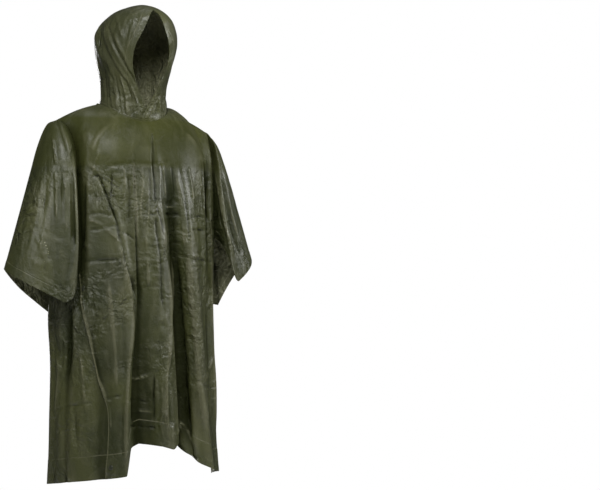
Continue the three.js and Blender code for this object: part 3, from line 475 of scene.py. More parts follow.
FRONT_CREASES = creases("""
part  depth before after crisp start end path
near 3.4 5 4 1.0 0.05 0.05  36,276 45,280 56,285
near -2.4 5 5 0.9 0.1 0.1  52,252 47,264 43,276
near 3.0 7 4 0.8 0.1 0.2  38,236 43,248 48,262 50,274
near -2.4 4 6 0.9 0.1 0.2  44,236 49,250 53,262
near 2.6 5 4 0.8 0.1 0.2  28,228 25,244 22,262
near -2.2 4 5 0.9 0.1 0.2  34,228 31,240 30,254
far -6.0 6 9 0.6 0.2 0.1  220,168 226,200 233,232 242,256
trunk -9.0 22 14 0.3 0.3 0.05  180,350 184,396 189,436 196,462
trunk -5.0 12 12 0.3 0.3 0.1  168,350 170,390 172,430
trunk -4.6 5 12 0.95 0.05 0.1  98,174 103,186 109,202 115,218 119,236 123,254 129,274 135,298
trunk -3.2 4 12 0.95 0.1 0.2  133,150 134,176 135,210 136,250 138,296
trunk -2.6 4 7 1.0 0.05 0.1  152,132 154,152 154,172 156,205
trunk -2.4 4 6 1.0 0.1 0.1  156,205 161,222 164,240 164,250 162,262
trunk -2.0 4 5 1.0 0.1 0.1  94,176 103,178 112,184 122,190
trunk -1.8 3 6 0.9 0.1 0.2  112,170 112,184 111,197
trunk -1.8 4 5 0.9 0.1 0.1  118,230 126,234 135,240
trunk -4.0 5 9 0.9 0.1 0.2  203,160 205,178 205,200 207,224
trunk -1.8 3 7 0.9 0.1 0.2  171,166 176,184 180,206
trunk -2.2 4 5 1.0 0.1 0.1  165,214 172,213 180,215
trunk -1.8 3 4 1.0 0.1 0.1  193,216 200,216 207,217
trunk -1.8 3 4 1.0 0.1 0.1  192,229 200,230 207,230
trunk 3.0 12 4 0.9 0.1 0.2  146,186 149,205 147,226 145,250
trunk -2.2 4 9 0.9 0.2 0.1  112,168 111,190 108,214
trunk 2.6 12 4 0.9 0.1 0.3  124,166 125,186 123,208
trunk -1.8 4 8 0.9 0.1 0.3  133,165 134,182 133,200
trunk 3.0 12 4 0.9 0.1 0.3  142,165 143,184 141,206 142,232
trunk -1.6 4 7 0.9 0.1 0.3  149,166 150,188 149,212
trunk 2.6 9 4 0.9 0.1 0.3  162,160 164,182 166,206
trunk -1.8 3 7 0.9 0.1 0.3  171,164 173,186 174,204
trunk 2.8 10 4 0.9 0.1 0.3  188,166 192,190 194,212
trunk -1.6 7 10 0.7 0.1 0.15  104,168 118,165 134,163 152,164 172,161
trunk 1.4 16 14 0.1 0.3 0.3  117,122 108,127 100,135 95,145 91,160
trunk 1.3 28 9 0.35 0.3 0.3  176,126 186,133 195,143 200,154 203,170
trunk -3.1 13 4 0.9 0.15 0.2  148,134 153,144 154,166 156,186 155,208
trunk 2.9 5 17 0.75 0.3 0.2  156,150 159,175 160,200 163,226 165,262
trunk 3.1 19 6 0.85 0.2 0.2  134,150 135,180 137,215 138,250
trunk -2.2 15 5 0.75 0.2 0.2  129,170 130,200 128,226
trunk 5.2 16 6 0.6 0.3 0.1  112,214 118,240 124,262 130,290 132,324 129,368 127,420 126,474
trunk -5.0 6 18 0.7 0.2 0.1  137,262 138,300 136,340 133,376 132,430
trunk 4.0 9 18 0.5 0.2 0.2  145,232 147,262 148,292
trunk -4.0 15 6 0.85 0.1 0.2  156,212 158,240 161,262 162,290 164,318
trunk 4.8 18 7 0.6 0.15 0.15  169,246 171,300 170,350 167,400 168,444
trunk 2.9 5 17 0.75 0.2 0.2  170,165 176,180 180,205 183,235 184,262
trunk -2.3 14 4 0.85 0.2 0.2  178,160 184,190 188,220 190,250
trunk -2.9 13 4 0.9 0.2 0.3  206,150 208,174 206,200 208,222
trunk -2.7 4 12 0.85 0.2 0.2  200,158 203,185 203,214
trunk 4.0 14 16 0.1 0.2 0.2  186,236 189,270 191,300 195,332 199,380 205,424 209,452
trunk -2.2 4 6 0.8 0.2 0.2  190,300 195,332 201,370
trunk -9.0 16 12 0.4 0.2 0.1  176,250 179,300 183,350 187,400 190,444
trunk 2.7 15 5 0.75 0.2 0.1  210,170 211,230 212,300 214,380 216,440
trunk -2.2 13 4 0.75 0.2 0.2  206,300 208,350 209,400
trunk -2.0 5 7 0.8 0.1 0.1  91,177 101,175 109,177 122,187
trunk 2.2 7 6 0.6 0.2 0.2  88,163 96,170 104,180
trunk 2.0 7 6 0.6 0.2 0.2  100,150 95,166 91,180
trunk -2.2 5 7 0.8 0.1 0.1  88,216 98,213 110,215 118,214
trunk -2.4 5 7 0.8 0.1 0.1  90,231 100,229 113,226 120,224
trunk 2.2 6 6 0.6 0.2 0.2  84,222 96,222 112,234 124,246
trunk -2.0 4 6 0.9 0.1 0.1  140,214 150,215 160,213
trunk -3.0 4 7 0.9 0.1 0.1  164,214 172,215 181,214
trunk 1.8 4 4 0.6 0.1 0.1  165,207 178,206
trunk -2.0 4 6 0.8 0.1 0.1  190,218 200,217 207,219
trunk -2.0 4 6 0.8 0.1 0.1  192,230 200,230 208,231
trunk -2.4 4 6 0.9 0.1 0.1  190,261 200,260 212,262
trunk 2.0 4 4 0.6 0.1 0.1  190,257 201,256 211,258
trunk -2.8 6 9 0.8 0.15 0.15  84,262 95,261 108,260 123,259
trunk -2.0 5 7 0.8 0.1 0.1  143,288 150,286 159,287
trunk 3.0 8 5 0.7 0.15 0.15  131,379 140,378 153,374
trunk -2.0 5 5 0.8 0.1 0.1  128,400 138,400 148,403
trunk -2.2 5 6 0.8 0.1 0.1  129,427 142,426 157,429
trunk 1.8 5 5 0.5 0.1 0.1  130,412 142,411 152,413
trunk -2.7 4 11 0.9 0.2 0.2  154,372 153,396 154,424
trunk 3.1 13 4 0.85 0.2 0.2  161,378 163,400 162,426 165,446
trunk -2.2 5 8 0.8 0.1 0.1  198,380 204,387 213,390
trunk 2.4 6 6 0.7 0.2 0.2  212,358 208,372 205,384
trunk -3.2 7 10 0.6 0.2 0.2  171,380 178,396 186,408
trunk 3.0 8 8 0.5 0.2 0.2  174,440 181,424 186,430 192,446
trunk -2.0 5 6 0.8 0.1 0.1  94,401 106,399 120,395 127,393
trunk 2.4 7 5 0.7 0.2 0.2  109,396 110,410 112,432
trunk 2.7 23 7 0.55 0.2 0.2  108,268 112,310 116,350 118,400
trunk -2.2 5 15 0.75 0.2 0.2  120,300 123,340 122,380
trunk -2.0 13 4 0.9 0.2 0.2  86,172 86,200 84,240 80,262
side -2.2 5 7 0.8 0.1 0.05  56,409 66,406 80,404 94,401
side -5.0 9 12 0.5 0.15 0.3  71,300 71,330 70,360 66,386
side 3.0 10 8 0.5 0.2 0.2  80,300 81,340 84,380 88,420
side 3.0 7 8 0.6 0.2 0.2  57,345 60,372 58,396 57,420
side -3.0 7 8 0.6 0.2 0.2  64,320 63,352 62,376
side 2.0 6 5 0.7 0.2 0.1  62,455 66,465 72,479
side -1.8 4 6 0.9 0.1 0.1  63,322 66,323 71,322
side -2.4 10 10 0.4 0.2 0.2  75,400 76,430 80,460
near 4.4 5 7 0.8 0.1 0.1  54,138 55.5,150 57,166
near 4.8 7 6 0.5 0.1 0.2  57,172 57.5,195 57.5,228
near -5.0 5 6 0.6 0.1 0.2  62,165 62.5,190 62.5,226
near 4.6 6 7 0.5 0.15 0.2  66.5,176 67,205 67,236
near -9.0 11 7 0.3 0.1 0.2  73,146 73.5,175 74,215 75,255
near -2.0 4 5 0.95 0.1 0.1  50,232 58,235 67,239
near 2.4 14 4 0.85 0.2 0.2  44,170 42,195 37,225 28,262
near -2.1 4 13 0.85 0.2 0.2  48,150 47,185 44,215 38,250
near -2.4 5 7 0.8 0.1 0.2  33,225 42,230 55,236 66,241
near 2.6 12 4 0.85 0.2 0.2  39,222 44,238 49,256 54,275
near 2.4 11 4 0.85 0.2 0.2  47,226 43,246 38,262 33,276
near -2.1 4 11 0.85 0.2 0.2  58,240 56,258 52,280
near 2.4 12 4 0.9 0.1 0.0  74,262 72,276 68,290 64,303
near -2.0 4 5 0.8 0.1 0.1  30,168 36,176 40,186
near 2.0 4 4 0.6 0.1 0.1  28,182 35,188 39,198
near -2.0 4 5 0.8 0.1 0.1  25,196 32,202 37,212
near 1.9 15 5 0.65 0.2 0.2  36,140 31,165 24,200 16,240
far 3.6 4 13 0.9 0.15 0.1  214,160 219,190 223,215 231,248 239,276
far -3.1 14 4 0.75 0.2 0.2  209,150 213,185 216,220 222,250
far -2.7 11 4 0.85 0.2 0.2  224,180 231,212 238,240
far 2.2 4 11 0.85 0.2 0.2  226,190 234,222 243,252
trunk 4.0 10 14 0.6 0.04 0.1  75,258 79,283 84,310 91,340 97,372 103,388 109,408
side -9.0 20 12 0.2 0.05 0.2  72,262 75,283 80,310 87,340 92,372 98,392 104,412
""")
HOOD_CREASES = creases("""
part  depth before after crisp start end path
hood -1.8 3 6 0.9 0.2 0.2  122,14 116,26 112,40
hood 1.8 6 3 0.9 0.2 0.2  128,14 123,28 119,44
hood -1.8 3 6 0.9 0.2 0.2  134,30 130,44 127,58
hood -2.0 3 6 0.9 0.2 0.1  109,76 109,92 110,108
hood 2.0 6 3 0.9 0.2 0.1  117,82 117,98 117,114
hood -2.0 3 6 0.9 0.2 0.1  129,96 130,108 132,119
hood 1.8 5 3 0.9 0.2 0.2  98,50 99,66 103,80
hood -4.2 6 8 0.7 0.15 0.1  107,22 111,38 117,52 125,66 133,78 139,90
hood 3.4 8 6 0.6 0.2 0.15  103,26 107,42 114,58 122,72 130,84
hood 2.8 6 6 0.7 0.2 0.1  113,30 119,46 126,60 131,72
hood -2.6 5 6 0.7 0.2 0.2  100,40 103,58 110,74 116,86
hood -2.2 5 5 0.7 0.2 0.2  129,22 127,36 123,48
hood 2.4 5 5 0.7 0.2 0.2  134,20 130,36 127,52
hood 2.2 6 5 0.5 0.2 0.2  116,12 119,26 124,40
hood 4.0 6 6 0.7 0.2 0.05  119,72 123,84 126,96 127,110 128,118
hood -3.6 5 5 0.7 0.2 0.05  114,70 117,84 119,98 121,114
hood -3.6 5 5 0.7 0.2 0.05  124,76 129,90 132,104 133,118
hood 3.4 5 6 0.6 0.2 0.05  110,68 111,84 112,98 113,112
hood -3.2 5 5 0.6 0.2 0.05  105,66 106,82 107,98 106,110
hood 3.0 5 5 0.6 0.2 0.05  101,70 102,86 102,100 100,108
hood 3.4 5 5 0.7 0.2 0.05  130,82 135,96 138,108 138,119
hood -2.2 4 5 0.8 0.1 0.1  99,82 104,80 112,79
hood 2.6 4 4 0.7 0.1 0.1  157,100 151,108 146,118
hood -2.6 4 4 0.7 0.1 0.1  153,103 148,110 143,120
hood -2.4 4 4 0.7 0.1 0.1  160,92 158,104 155,117
hood 2.6 5 5 0.6 0.2 0.1  164,24 171,36 173,50 170,66 165,80
""")
# Creases of the back: x is the length round the body from its centre towards the wearer's
# right and y is the depth below the neck, both in millimetres
BACK_CREASES = creases("""
part  depth before after crisp start end path
own -2.6 6 8 0.8 0.05 0.05  -230,168 -120,160 0,166 110,158 225,170
own 2.6 6 6 0.7 0.05 0.05  -235,306 -130,298 -10,308 120,300 240,310
own -2.6 8 6 0.8 0.05 0.05  -240,448 -110,442 30,452 140,440 250,450
own -2.6 6 8 0.8 0.05 0.05  -240,590 -120,580 0,588 130,578 330,592
own 2.4 6 6 0.7 0.05 0.05  -240,722 -100,730 20,718 140,728 330,716
own -2.4 8 6 0.8 0.05 0.05  -240,858 -90,850 40,860 160,848 330,862
own 5.0 14 9 0.5 0.1 0.02  -176,120 -184,330 -172,560 -160,780 -150,960
own -4.4 9 12 0.5 0.1 0.05  -110,180 -104,420 -96,640 -84,900
own 4.6 9 14 0.5 0.15 0.02  -60,90 -52,300 -44,520 -30,740 -26,950
own -5.6 10 8 0.6 0.1 0.02  22,120 28,330 38,540 44,760 56,960
own 4.4 10 12 0.5 0.1 0.1  74,200 84,460 96,700 102,900
own -4.0 10 9 0.6 0.1 0.05  132,140 140,400 150,640 160,930
own 4.2 9 12 0.5 0.1 0.02  192,180 196,420 204,660 214,960
own -3.6 9 9 0.5 0.1 0.05  262,470 270,640 276,820 284,1000
own 3.0 7 7 0.7 0.2 0.2  -90,60 -130,130 -150,210
own -3.0 7 7 0.7 0.2 0.2  60,60 96,130 120,220
own 2.6 7 7 0.7 0.2 0.2  -30,40 -26,110 -36,190
own -2.6 7 7 0.7 0.2 0.2  -200,520 -150,600 -90,650
own 2.6 7 7 0.7 0.2 0.2  10,640 60,700 130,740
own 3.4 10 9 0.5 0.1 0.05  1060,60 1064,200 1060,330 1070,460
own -3.2 9 8 0.6 0.1 0.05  1110,90 1104,220 1112,360 1106,460
own -2.6 6 8 0.7 0.1 0.1  1020,250 1080,240 1150,256
own 3.4 10 9 0.5 0.1 0.05  1560,60 1566,180 1560,280 1570,400
own -3.2 9 8 0.6 0.1 0.05  1612,80 1606,190 1614,300 1608,400
own -2.6 6 8 0.7 0.1 0.1  1520,220 1580,232 1650,218
""")

# Crumpled patches on the view grid: centre, half sizes in grid steps and height in millimetres
CRUMPLES = rows("part x y across down height", [
    ("trunk", 86, 136, 9, 20, 1.8),
    ("trunk", 96, 200, 14, 34, 2.2),
    ("trunk", 84, 248, 12, 12, 2.4),
    ("trunk", 103, 356, 8, 12, 2.0),
    ("trunk", 163, 326, 9, 16, 2.4),
    ("trunk", 123, 433, 6, 14, 2.2),
    ("trunk", 164, 420, 8, 14, 2.6),
    ("trunk", 150, 395, 14, 30, 1.0),
    ("trunk", 172, 210, 10, 8, 1.2),
    ("trunk", 199, 224, 9, 12, 1.2),
    ("side", 60, 370, 7, 14, 2.0),
    ("near", 42, 262, 9, 16, 2.2),
    ("near", 33, 190, 10, 26, 1.6),
    ("hood", 120, 98, 22, 22, 1.4),
    ("hood", 150, 111, 8, 9, 1.6),
])

# How far each part's creases stand out beside the tables
FULLNESS = {"trunk": 1.5, "side": 1.4, "near": 0.9, "far": 1.2, "own": 1.2, "hood": 1.0}
PATH_STEP = 10
# Creases grow and shrink along their paths, each in its own way
UNEVEN_SHARE = 0.6
UNEVEN_PACE = 5
UNEVEN_NEXT = 3.7
UNEVEN_PLACES = np.linspace(0, 1, 64)
TINY = 1e-9
LEAST_FADE = 1e-6


def smooth_path(path, step):
    """Points along a curve through the points of the path."""
    points = np.array(path, float)
    padded = np.vstack([2 * points[0] - points[1], points, 2 * points[-1] - points[-2]])
    pieces = []
    for before, start, end, after in zip(padded, padded[1:], padded[2:], padded[3:]):
        count = max(2, int(np.linalg.norm(end - start) / step))
        s = np.linspace(0, 1, count, endpoint=False)[:, None]
        pieces.append(0.5 * (
            2 * start + (end - before) * s
            + (2 * before - 5 * start + 4 * end - after) * s**2
            + (3 * start - before - 3 * end + after) * s**3
        ))
    pieces.append(points[-1:])
    return np.vstack(pieces)


def crease_profile(places, crease, scale, number):
    """Height of one crease at the places; scale is the millimetres in a step of its grid."""
    reach = max(crease.before, crease.after) / scale
    path = smooth_path(crease.path, PATH_STEP / scale)
    near = np.all((places > path.min(0) - reach) & (places < path.max(0) + reach), axis=1)
    height = np.zeros(len(places))
    if not near.any():
        return height
    spots = places[near]
    run = np.diff(path, axis=0)
    length = np.linalg.norm(run, axis=1)
    passed = np.concatenate([[0], np.cumsum(length)])
    offset = spots[:, None] - path[None, :-1]
    share = np.clip((offset * run).sum(2) / length**2, 0, 1)
    gap = offset - share[..., None] * run
    distance = np.linalg.norm(gap, axis=2)
    nearest = distance.argmin(1)
    index = np.arange(len(spots))
    distance = distance[index, nearest] * scale
    gap = gap[index, nearest]
    ahead = run[nearest]
    first_side = ahead[:, 0] * gap[:, 1] - ahead[:, 1] * gap[:, 0] > 0
    width = np.where(first_side, crease.before, crease.after)
    s = np.minimum(distance / width, 1)
    profile = mix(0.5 * (1 + np.cos(np.pi * s)), (1 - s) ** 2, crease.crisp)
    travelled = (passed[nearest] + share[index, nearest] * length[nearest]) / passed[-1]
    fade = smooth_step(0, max(crease.start, LEAST_FADE), travelled + TINY)
    fade *= smooth_step(0, max(crease.end, LEAST_FADE), 1 - travelled + TINY)
    wander = np.array([
        noise.noise((s * UNEVEN_PACE, number * UNEVEN_NEXT, 0.5)) for s in UNEVEN_PLACES
    ])
    uneven = 1 + UNEVEN_SHARE * np.interp(travelled, UNEVEN_PLACES, wander)
    height[near] = FULLNESS[crease.part] * crease.depth * profile * fade * uneven
    return height


def on_view_grid(points):
    across = points[:, 0] * math.cos(VIEW_TURN) + points[:, 1] * -math.sin(VIEW_TURN)
    nearer = -points[:, 0] * math.sin(VIEW_TURN) - points[:, 1] * math.cos(VIEW_TURN)
    spread = VIEW_DISTANCE / (VIEW_DISTANCE - nearer) / GRID_STEP
    x = GRID_AXIS_X + across * spread
    y = GRID_LEVEL_Y - (points[:, 2] - VIEW_HEIGHT) * spread
    return np.stack([x, y], axis=1)


def facing_view(points, normals):
    eye = VIEW_DISTANCE * np.array([-math.sin(VIEW_TURN), -math.cos(VIEW_TURN), 0])
    eye[2] = VIEW_HEIGHT
    to_eye = eye - points
    to_eye /= np.linalg.norm(to_eye, axis=1)[:, None]
    return (to_eye * normals).sum(1)


# Unevenness: size in millimetres, a shift that makes each one different, and stretch upwards
Grain = namedtuple("Grain", "size shift stretch")
RUMPLE = Grain(26, 11.3, 1.3)
FINE_RUMPLE = Grain(13, 47.1, 1.0)
RUMPLED_PLACES = Grain(120, 5.7, 1.4)
SLOW_WAVES = Grain(70, 23.9, 3.2)
SLOW_WAVE_HEIGHT = 3.2
RUMPLE_HEIGHTS = (0.12, 0.35)


def noise_at(points, grain):
    scaled = points / grain.size
    scaled[:, 2] /= grain.stretch
    scaled += grain.shift
    return np.array([noise.noise(p) for p in scaled])


def folded_noise(points, grain):
    """Noise with sharp crests, as crumpled cloth has."""
    return 1 - 2.4 * np.abs(noise_at(points, grain))


# Cloth in the making
FAR_AWAY = 999.0
SNAP_CALM = (9, 30)
SMOOTH_STEPS = 90
SMOOTH_SHARE = 0.7
SHARP_ANGLE = math.radians(58)
OWN_NUMBERS = 200
SHOWN_LINES = ("hem_line", "cuff_line", "side_line", "seam_line", "edge")


class Cloth:
    """Gathers grids of points, welds them, creases them and gives them a wall."""

    DEFAULTS = {
        **dict.fromkeys(SHOWN_LINES, FAR_AWAY),
        "extra": 0.0, "level": 0.0, "pin": 1.0, "own_u": 0.0, "own_v": 0.0,
        "trunk": 0.0, "side": 0.0, "near": 0.0, "far": 0.0, "hood": 0.0, "own": 0.0,
    }

    def __init__(self):
        self.grids = []

    def add(self, points, turned=False, **values):
        self.grids.append((points, turned, values))

    def weld(self):
        """Joins the grids at their common points and keeps the faces that have an area."""
        every = np.concatenate([grid.reshape(-1, 3) for grid, _, _ in self.grids])
        key = np.round(every * 1000).astype(np.int64)
        _, first, inverse = np.unique(key, axis=0, return_index=True, return_inverse=True)
        inverse = inverse.reshape(-1)
        order = np.argsort(first)
        rank = np.empty_like(order)
        rank[order] = np.arange(len(order))
        index = rank[inverse]
        chosen = first[order]
        self.points = every[chosen]
        self.values = {}
        for name, default in self.DEFAULTS.items():
            columns = [
                np.broadcast_to(values.get(name, default), grid.shape[:2]).reshape(-1)
                for grid, _, values in self.grids
            ]
            self.values[name] = np.concatenate(columns).astype(float)[chosen]
        quads = []
        start = 0
        for grid, turned, _ in self.grids:
            count = grid.shape[0] * grid.shape[1]
            ids = index[start:start + count].reshape(grid.shape[:2])
            start += count
            if turned:
                ids = ids[:, ::-1]
            quads.append(
                np.stack([ids[:-1, :-1], ids[1:, :-1], ids[1:, 1:], ids[:-1, 1:]], axis=-1).reshape(-1, 4)
            )
        self.faces = []
        for a, b, c, d in np.concatenate(quads).tolist():
            corner = [v for v, w in zip((a, b, c, d), (b, c, d, a)) if v != w]
            if len(set(corner)) == len(corner) and len(corner) > 2:
                self.faces.append(corner)
        self.triangles = np.array(
            [(f[0], f[k], f[k + 1]) for f in self.faces for k in range(1, len(f) - 1)]
        )

    def normals(self):
        a, b, c = (self.points[self.triangles[:, k]] for k in range(3))
        face = np.cross(b - a, c - a)
        normals = np.zeros_like(self.points)
        for k in range(3):
            np.add.at(normals, self.triangles[:, k], face)
        normals[self.values["level"] == 1, 0] = 0
        normals[self.values["level"] == 2, 1] = 0
        return normals / np.maximum(np.linalg.norm(normals, axis=1), 1e-9)[:, None]

    def crease(self, view_creases, own_creases, calm_spots):
        """Moves the points along their normals by the creases, the crumples and a slow unevenness."""
        normals = self.normals()
        grid = on_view_grid(self.points)
        own = np.stack([self.values["own_u"], self.values["own_v"]], axis=1)
        seen = smooth_step(0.02, 0.3, facing_view(self.points, normals))
        height = np.zeros(len(self.points))
        crisp = np.zeros(len(self.points))
        cleft = np.zeros(len(self.points))

        def press(where, crease, step, number, weight):
            # Only sharp troughs are marked as clefts, which the cloth's colour darkens as painted shade
            rise = crease_profile(where, crease, step, number) * weight
            share = rise / abs(crease.depth)
            np.add(height, rise, out=height)
            np.add(crisp, np.maximum(share, 0) ** 3 * abs(crease.depth), out=crisp)
            np.maximum(cleft, np.clip(-share, 0, 1) ** 2 * max(2.7 * crease.crisp - 1.65, 0), out=cleft)

        for number, crease in enumerate(view_creases):
            weight = self.values[crease.part] * seen
            if weight.any():
                press(grid, crease, GRID_STEP, number, weight)
        for number, crease in enumerate(own_creases):
            press(own, crease, 1, number + OWN_NUMBERS, self.values["own"])
        rumple = folded_noise(self.points, RUMPLE)
        fine = folded_noise(self.points, FINE_RUMPLE)
        spread = smooth_step(-0.1, 0.45, noise_at(self.points, RUMPLED_PLACES))
        least, most = RUMPLE_HEIGHTS
        strength = least + most * spread * (1 - 0.3 * self.values["hood"])
        for patch in CRUMPLES:
            weight = self.values[patch.part] * seen
            reach = np.hypot((grid[:, 0] - patch.x) / patch.across, (grid[:, 1] - patch.y) / patch.down)
            strength += patch.height * smooth_step(1, 0.3, reach) * weight
        slow = noise_at(self.points, SLOW_WAVES) * SLOW_WAVE_HEIGHT
        height += slow + strength * (0.75 * rumple + 0.35 * fine)
        height *= self.values["pin"]
        for spot in calm_spots:
            height *= smooth_step(*SNAP_CALM, np.linalg.norm(self.points - spot, axis=1))
        self.relief = height
        self.crispness = crisp
        self.clefts = cleft
        self.points = self.points + normals * height[:, None]

    def hollows(self):
        """Height of each point over the slowly smoothed cloth round it: below zero in a trough."""
        pairs = np.concatenate([self.triangles[:, [0, 1]], self.triangles[:, [1, 2]], self.triangles[:, [2, 0]]])
        pairs = np.unique(np.sort(pairs, axis=1), axis=0)
        first, second = pairs.T
        count = len(self.points)
        around = np.bincount(first, minlength=count) + np.bincount(second, minlength=count)
        smooth = self.points.copy()
        for _ in range(SMOOTH_STEPS):
            for axis in range(3):
                total = np.bincount(first, smooth[second, axis], count)
                total += np.bincount(second, smooth[first, axis], count)
                smooth[:, axis] = (1 - SMOOTH_SHARE) * smooth[:, axis] + SMOOTH_SHARE * total / around
        return ((self.points - smooth) * self.normals()).sum(1)

    def make(self, name, outside, inside):
        """Makes the closed wall: the outside, the inside and the rim between them."""
        normals = self.normals()
        count = len(self.points)
        outer = self.points + normals * (HALF_WALL + self.values["extra"])[:, None]
        inner = self.points - normals * HALF_WALL
        faces = [tuple(face) for face in self.faces]
        faces += [tuple(count + v for v in reversed(face)) for face in self.faces]
        edges = {}
        for face in self.faces:
            for a, b in zip(face, face[1:] + face[:1]):
                edges[(a, b)] = True
        rim = [(a, count + a, count + b, b) for a, b in edges if (b, a) not in edges]
        mesh = bpy.data.meshes.new(name)
        mesh.from_pydata((np.concatenate([outer, inner]) * METRE).tolist(), [], faces + rim)
        mesh.materials.append(outside)
        mesh.materials.append(inside)
        slots = np.zeros(len(mesh.polygons), np.int32)
        slots[len(self.faces):2 * len(self.faces)] = 1
        mesh.polygons.foreach_set("material_index", slots)
        mesh.shade_smooth()
        mesh.set_sharp_from_angle(angle=SHARP_ANGLE)
        shown = {key: self.values[key] for key in SHOWN_LINES}
        shown["relief"] = self.relief
        shown["crisp"] = self.crispness
        shown["cleft"] = self.clefts
        shown["hollow"] = self.hollows()
        for key, column in shown.items():
            layer = mesh.attributes.new(key, "FLOAT", "POINT")
            layer.data.foreach_set("value", np.tile(column, 2).astype(np.float32))
        mesh.update()
        piece = bpy.data.objects.new(name, mesh)
        bpy.context.scene.collection.objects.link(piece)
        return piece


# Body panels
AROUND_PER_DEGREE = 4.1
RIGHT_ARM_START = 1000
LEFT_ARM_START = 1500
SEAM_CALM = 16

def front_angles(row):
    right = side_edge(RIGHT_SIDE_EDGE, row, CAD_ROWS[3])
    left = side_edge(LEFT_SIDE_EDGE, row, CAD_ROWS[2])
    stations = TRUNK_FOLDS[1].stations
    z = np.where(row > CAD_ROWS[1], trunk_height(stations[-1].angle, row), CHEST_Z)
    crest = along(stations, "z", z, "angle")
    # Where each span of columns ends, and its number of columns
    spans = [
        (right + LAP_ANGLE, 7), (crest, 20), (crest + 6, 8), (left - LAP_ANGLE, 112), (left, 7),
    ]
    columns = [right]
    for end, steps in spans:
        start = columns[-1]
        columns += [mix(start, end, i / steps) for i in range(1, steps + 1)]
    return np.stack(columns, axis=1)


def trunk_grid(cloth, rows, facing, back_columns=0):
    if facing > 0:
        angles = front_angles(rows)
    else:
        shares = np.linspace(0, 1, back_columns + 1)
        angles = np.tile(mix(RIGHT_BACK_VALLEY, LEFT_BACK_VALLEY, shares), (len(rows), 1))
    points = panel_point(angles, rows[:, None], facing)
    from_top = row_lengths(points)
    above_hem = from_top[-1] - from_top
    centre = 0 if facing > 0 else -180
    turn = np.abs(angles - centre)
    if facing > 0:
        limit = np.where(angles < 0, -RIGHT_VALLEY, LEFT_VALLEY)
    else:
        limit = np.where(angles > -180, 180 + RIGHT_BACK_VALLEY, -180 - LEFT_BACK_VALLEY)
    on_seam = (rows[:, None] == 0) & (turn / limit >= SHOULDER_START - 1e-9)
    right_valley = RIGHT_VALLEY if facing > 0 else RIGHT_BACK_VALLEY
    left_valley = LEFT_VALLEY if facing > 0 else LEFT_BACK_VALLEY
    to_valley = np.minimum(np.abs(angles - right_valley), np.abs(angles - left_valley))
    trunk = smooth_step(0, 4, to_valley)
    below = rows[:, None] > CAD_ROWS[3]
    if facing > 0:
        trunk = np.where(below, 1, trunk)
    values = {
        "extra": np.where(above_hem <= HEM_LINE, HEM_EXTRA, 0),
        "hem_line": above_hem - HEM_LINE,
        "level": np.where(on_seam, 2, 0),
        "pin": smooth_step(0, SEAM_CALM, from_top),
        "own_u": (angles + 180) * AROUND_PER_DEGREE,
        "own_v": -points[..., 2],
    }
    if facing > 0:
        across = column_lengths(points)
        from_edge = np.minimum(
            np.where(rows[:, None] > CAD_ROWS[3], across, FAR_AWAY),
            np.where(rows[:, None] > CAD_ROWS[2], across[:, -1:] - across, FAR_AWAY),
        )
        values["trunk"] = trunk
        values["edge"] = from_edge
    else:
        values["own"] = trunk
    cloth.add(points, turned=facing < 0, **values)
    return points


def side_grid(cloth, rows, back, right, columns):
    edge_table = RIGHT_SIDE_EDGE if right else LEFT_SIDE_EDGE
    underarm = CAD_ROWS[3] if right else CAD_ROWS[2]
    kept = rows >= underarm
    rows = rows[kept]
    edge = side_edge(edge_table, rows, underarm)[:, None]
    valley = RIGHT_BACK_VALLEY if right else LEFT_BACK_VALLEY + 360
    inward = 1 if right else -1
    shares = np.linspace(0, 1, columns + 1)
    lap = np.linspace(0, 1, 6)[1:]
    angles = np.concatenate([mix(valley, edge, shares), edge + inward * LAP_ANGLE * lap], axis=1)
    low = edge - inward * 12
    high = edge - inward * 1
    inset = LAP_INSET * smooth_step(0, 1, (angles - low) / (high - low))
    points = panel_point(angles, rows[:, None], -1, inset)
    points[:, 0] = back[kept][:, 0 if right else -1]
    from_top = row_lengths(points)
    above_hem = from_top[-1] - from_top
    from_valley = np.abs(angles - valley)
    under_lap = smooth_step(LAP_INSET * 0.2, 0, inset)
    own_angle = angles + 180 if right else angles - 180
    cloth.add(
        points, turned=not right,
        hem_line=above_hem - HEM_LINE,
        extra=np.where((above_hem <= HEM_LINE) & (inset < 0.2), HEM_EXTRA, 0),
        side=(1.0 if right else 0.0) * under_lap * smooth_step(0, 4, from_valley),
        own=0.0 if right else smooth_step(0, 4, from_valley) * under_lap,
        pin=0.15 + 0.85 * under_lap,
        own_u=own_angle * AROUND_PER_DEGREE, own_v=-points[..., 2],
    )


def bezier(a, b, c, d, s):
    return (1 - s) ** 3 * a + 3 * (1 - s) ** 2 * s * b + 3 * (1 - s) * s**2 * c + s**3 * d


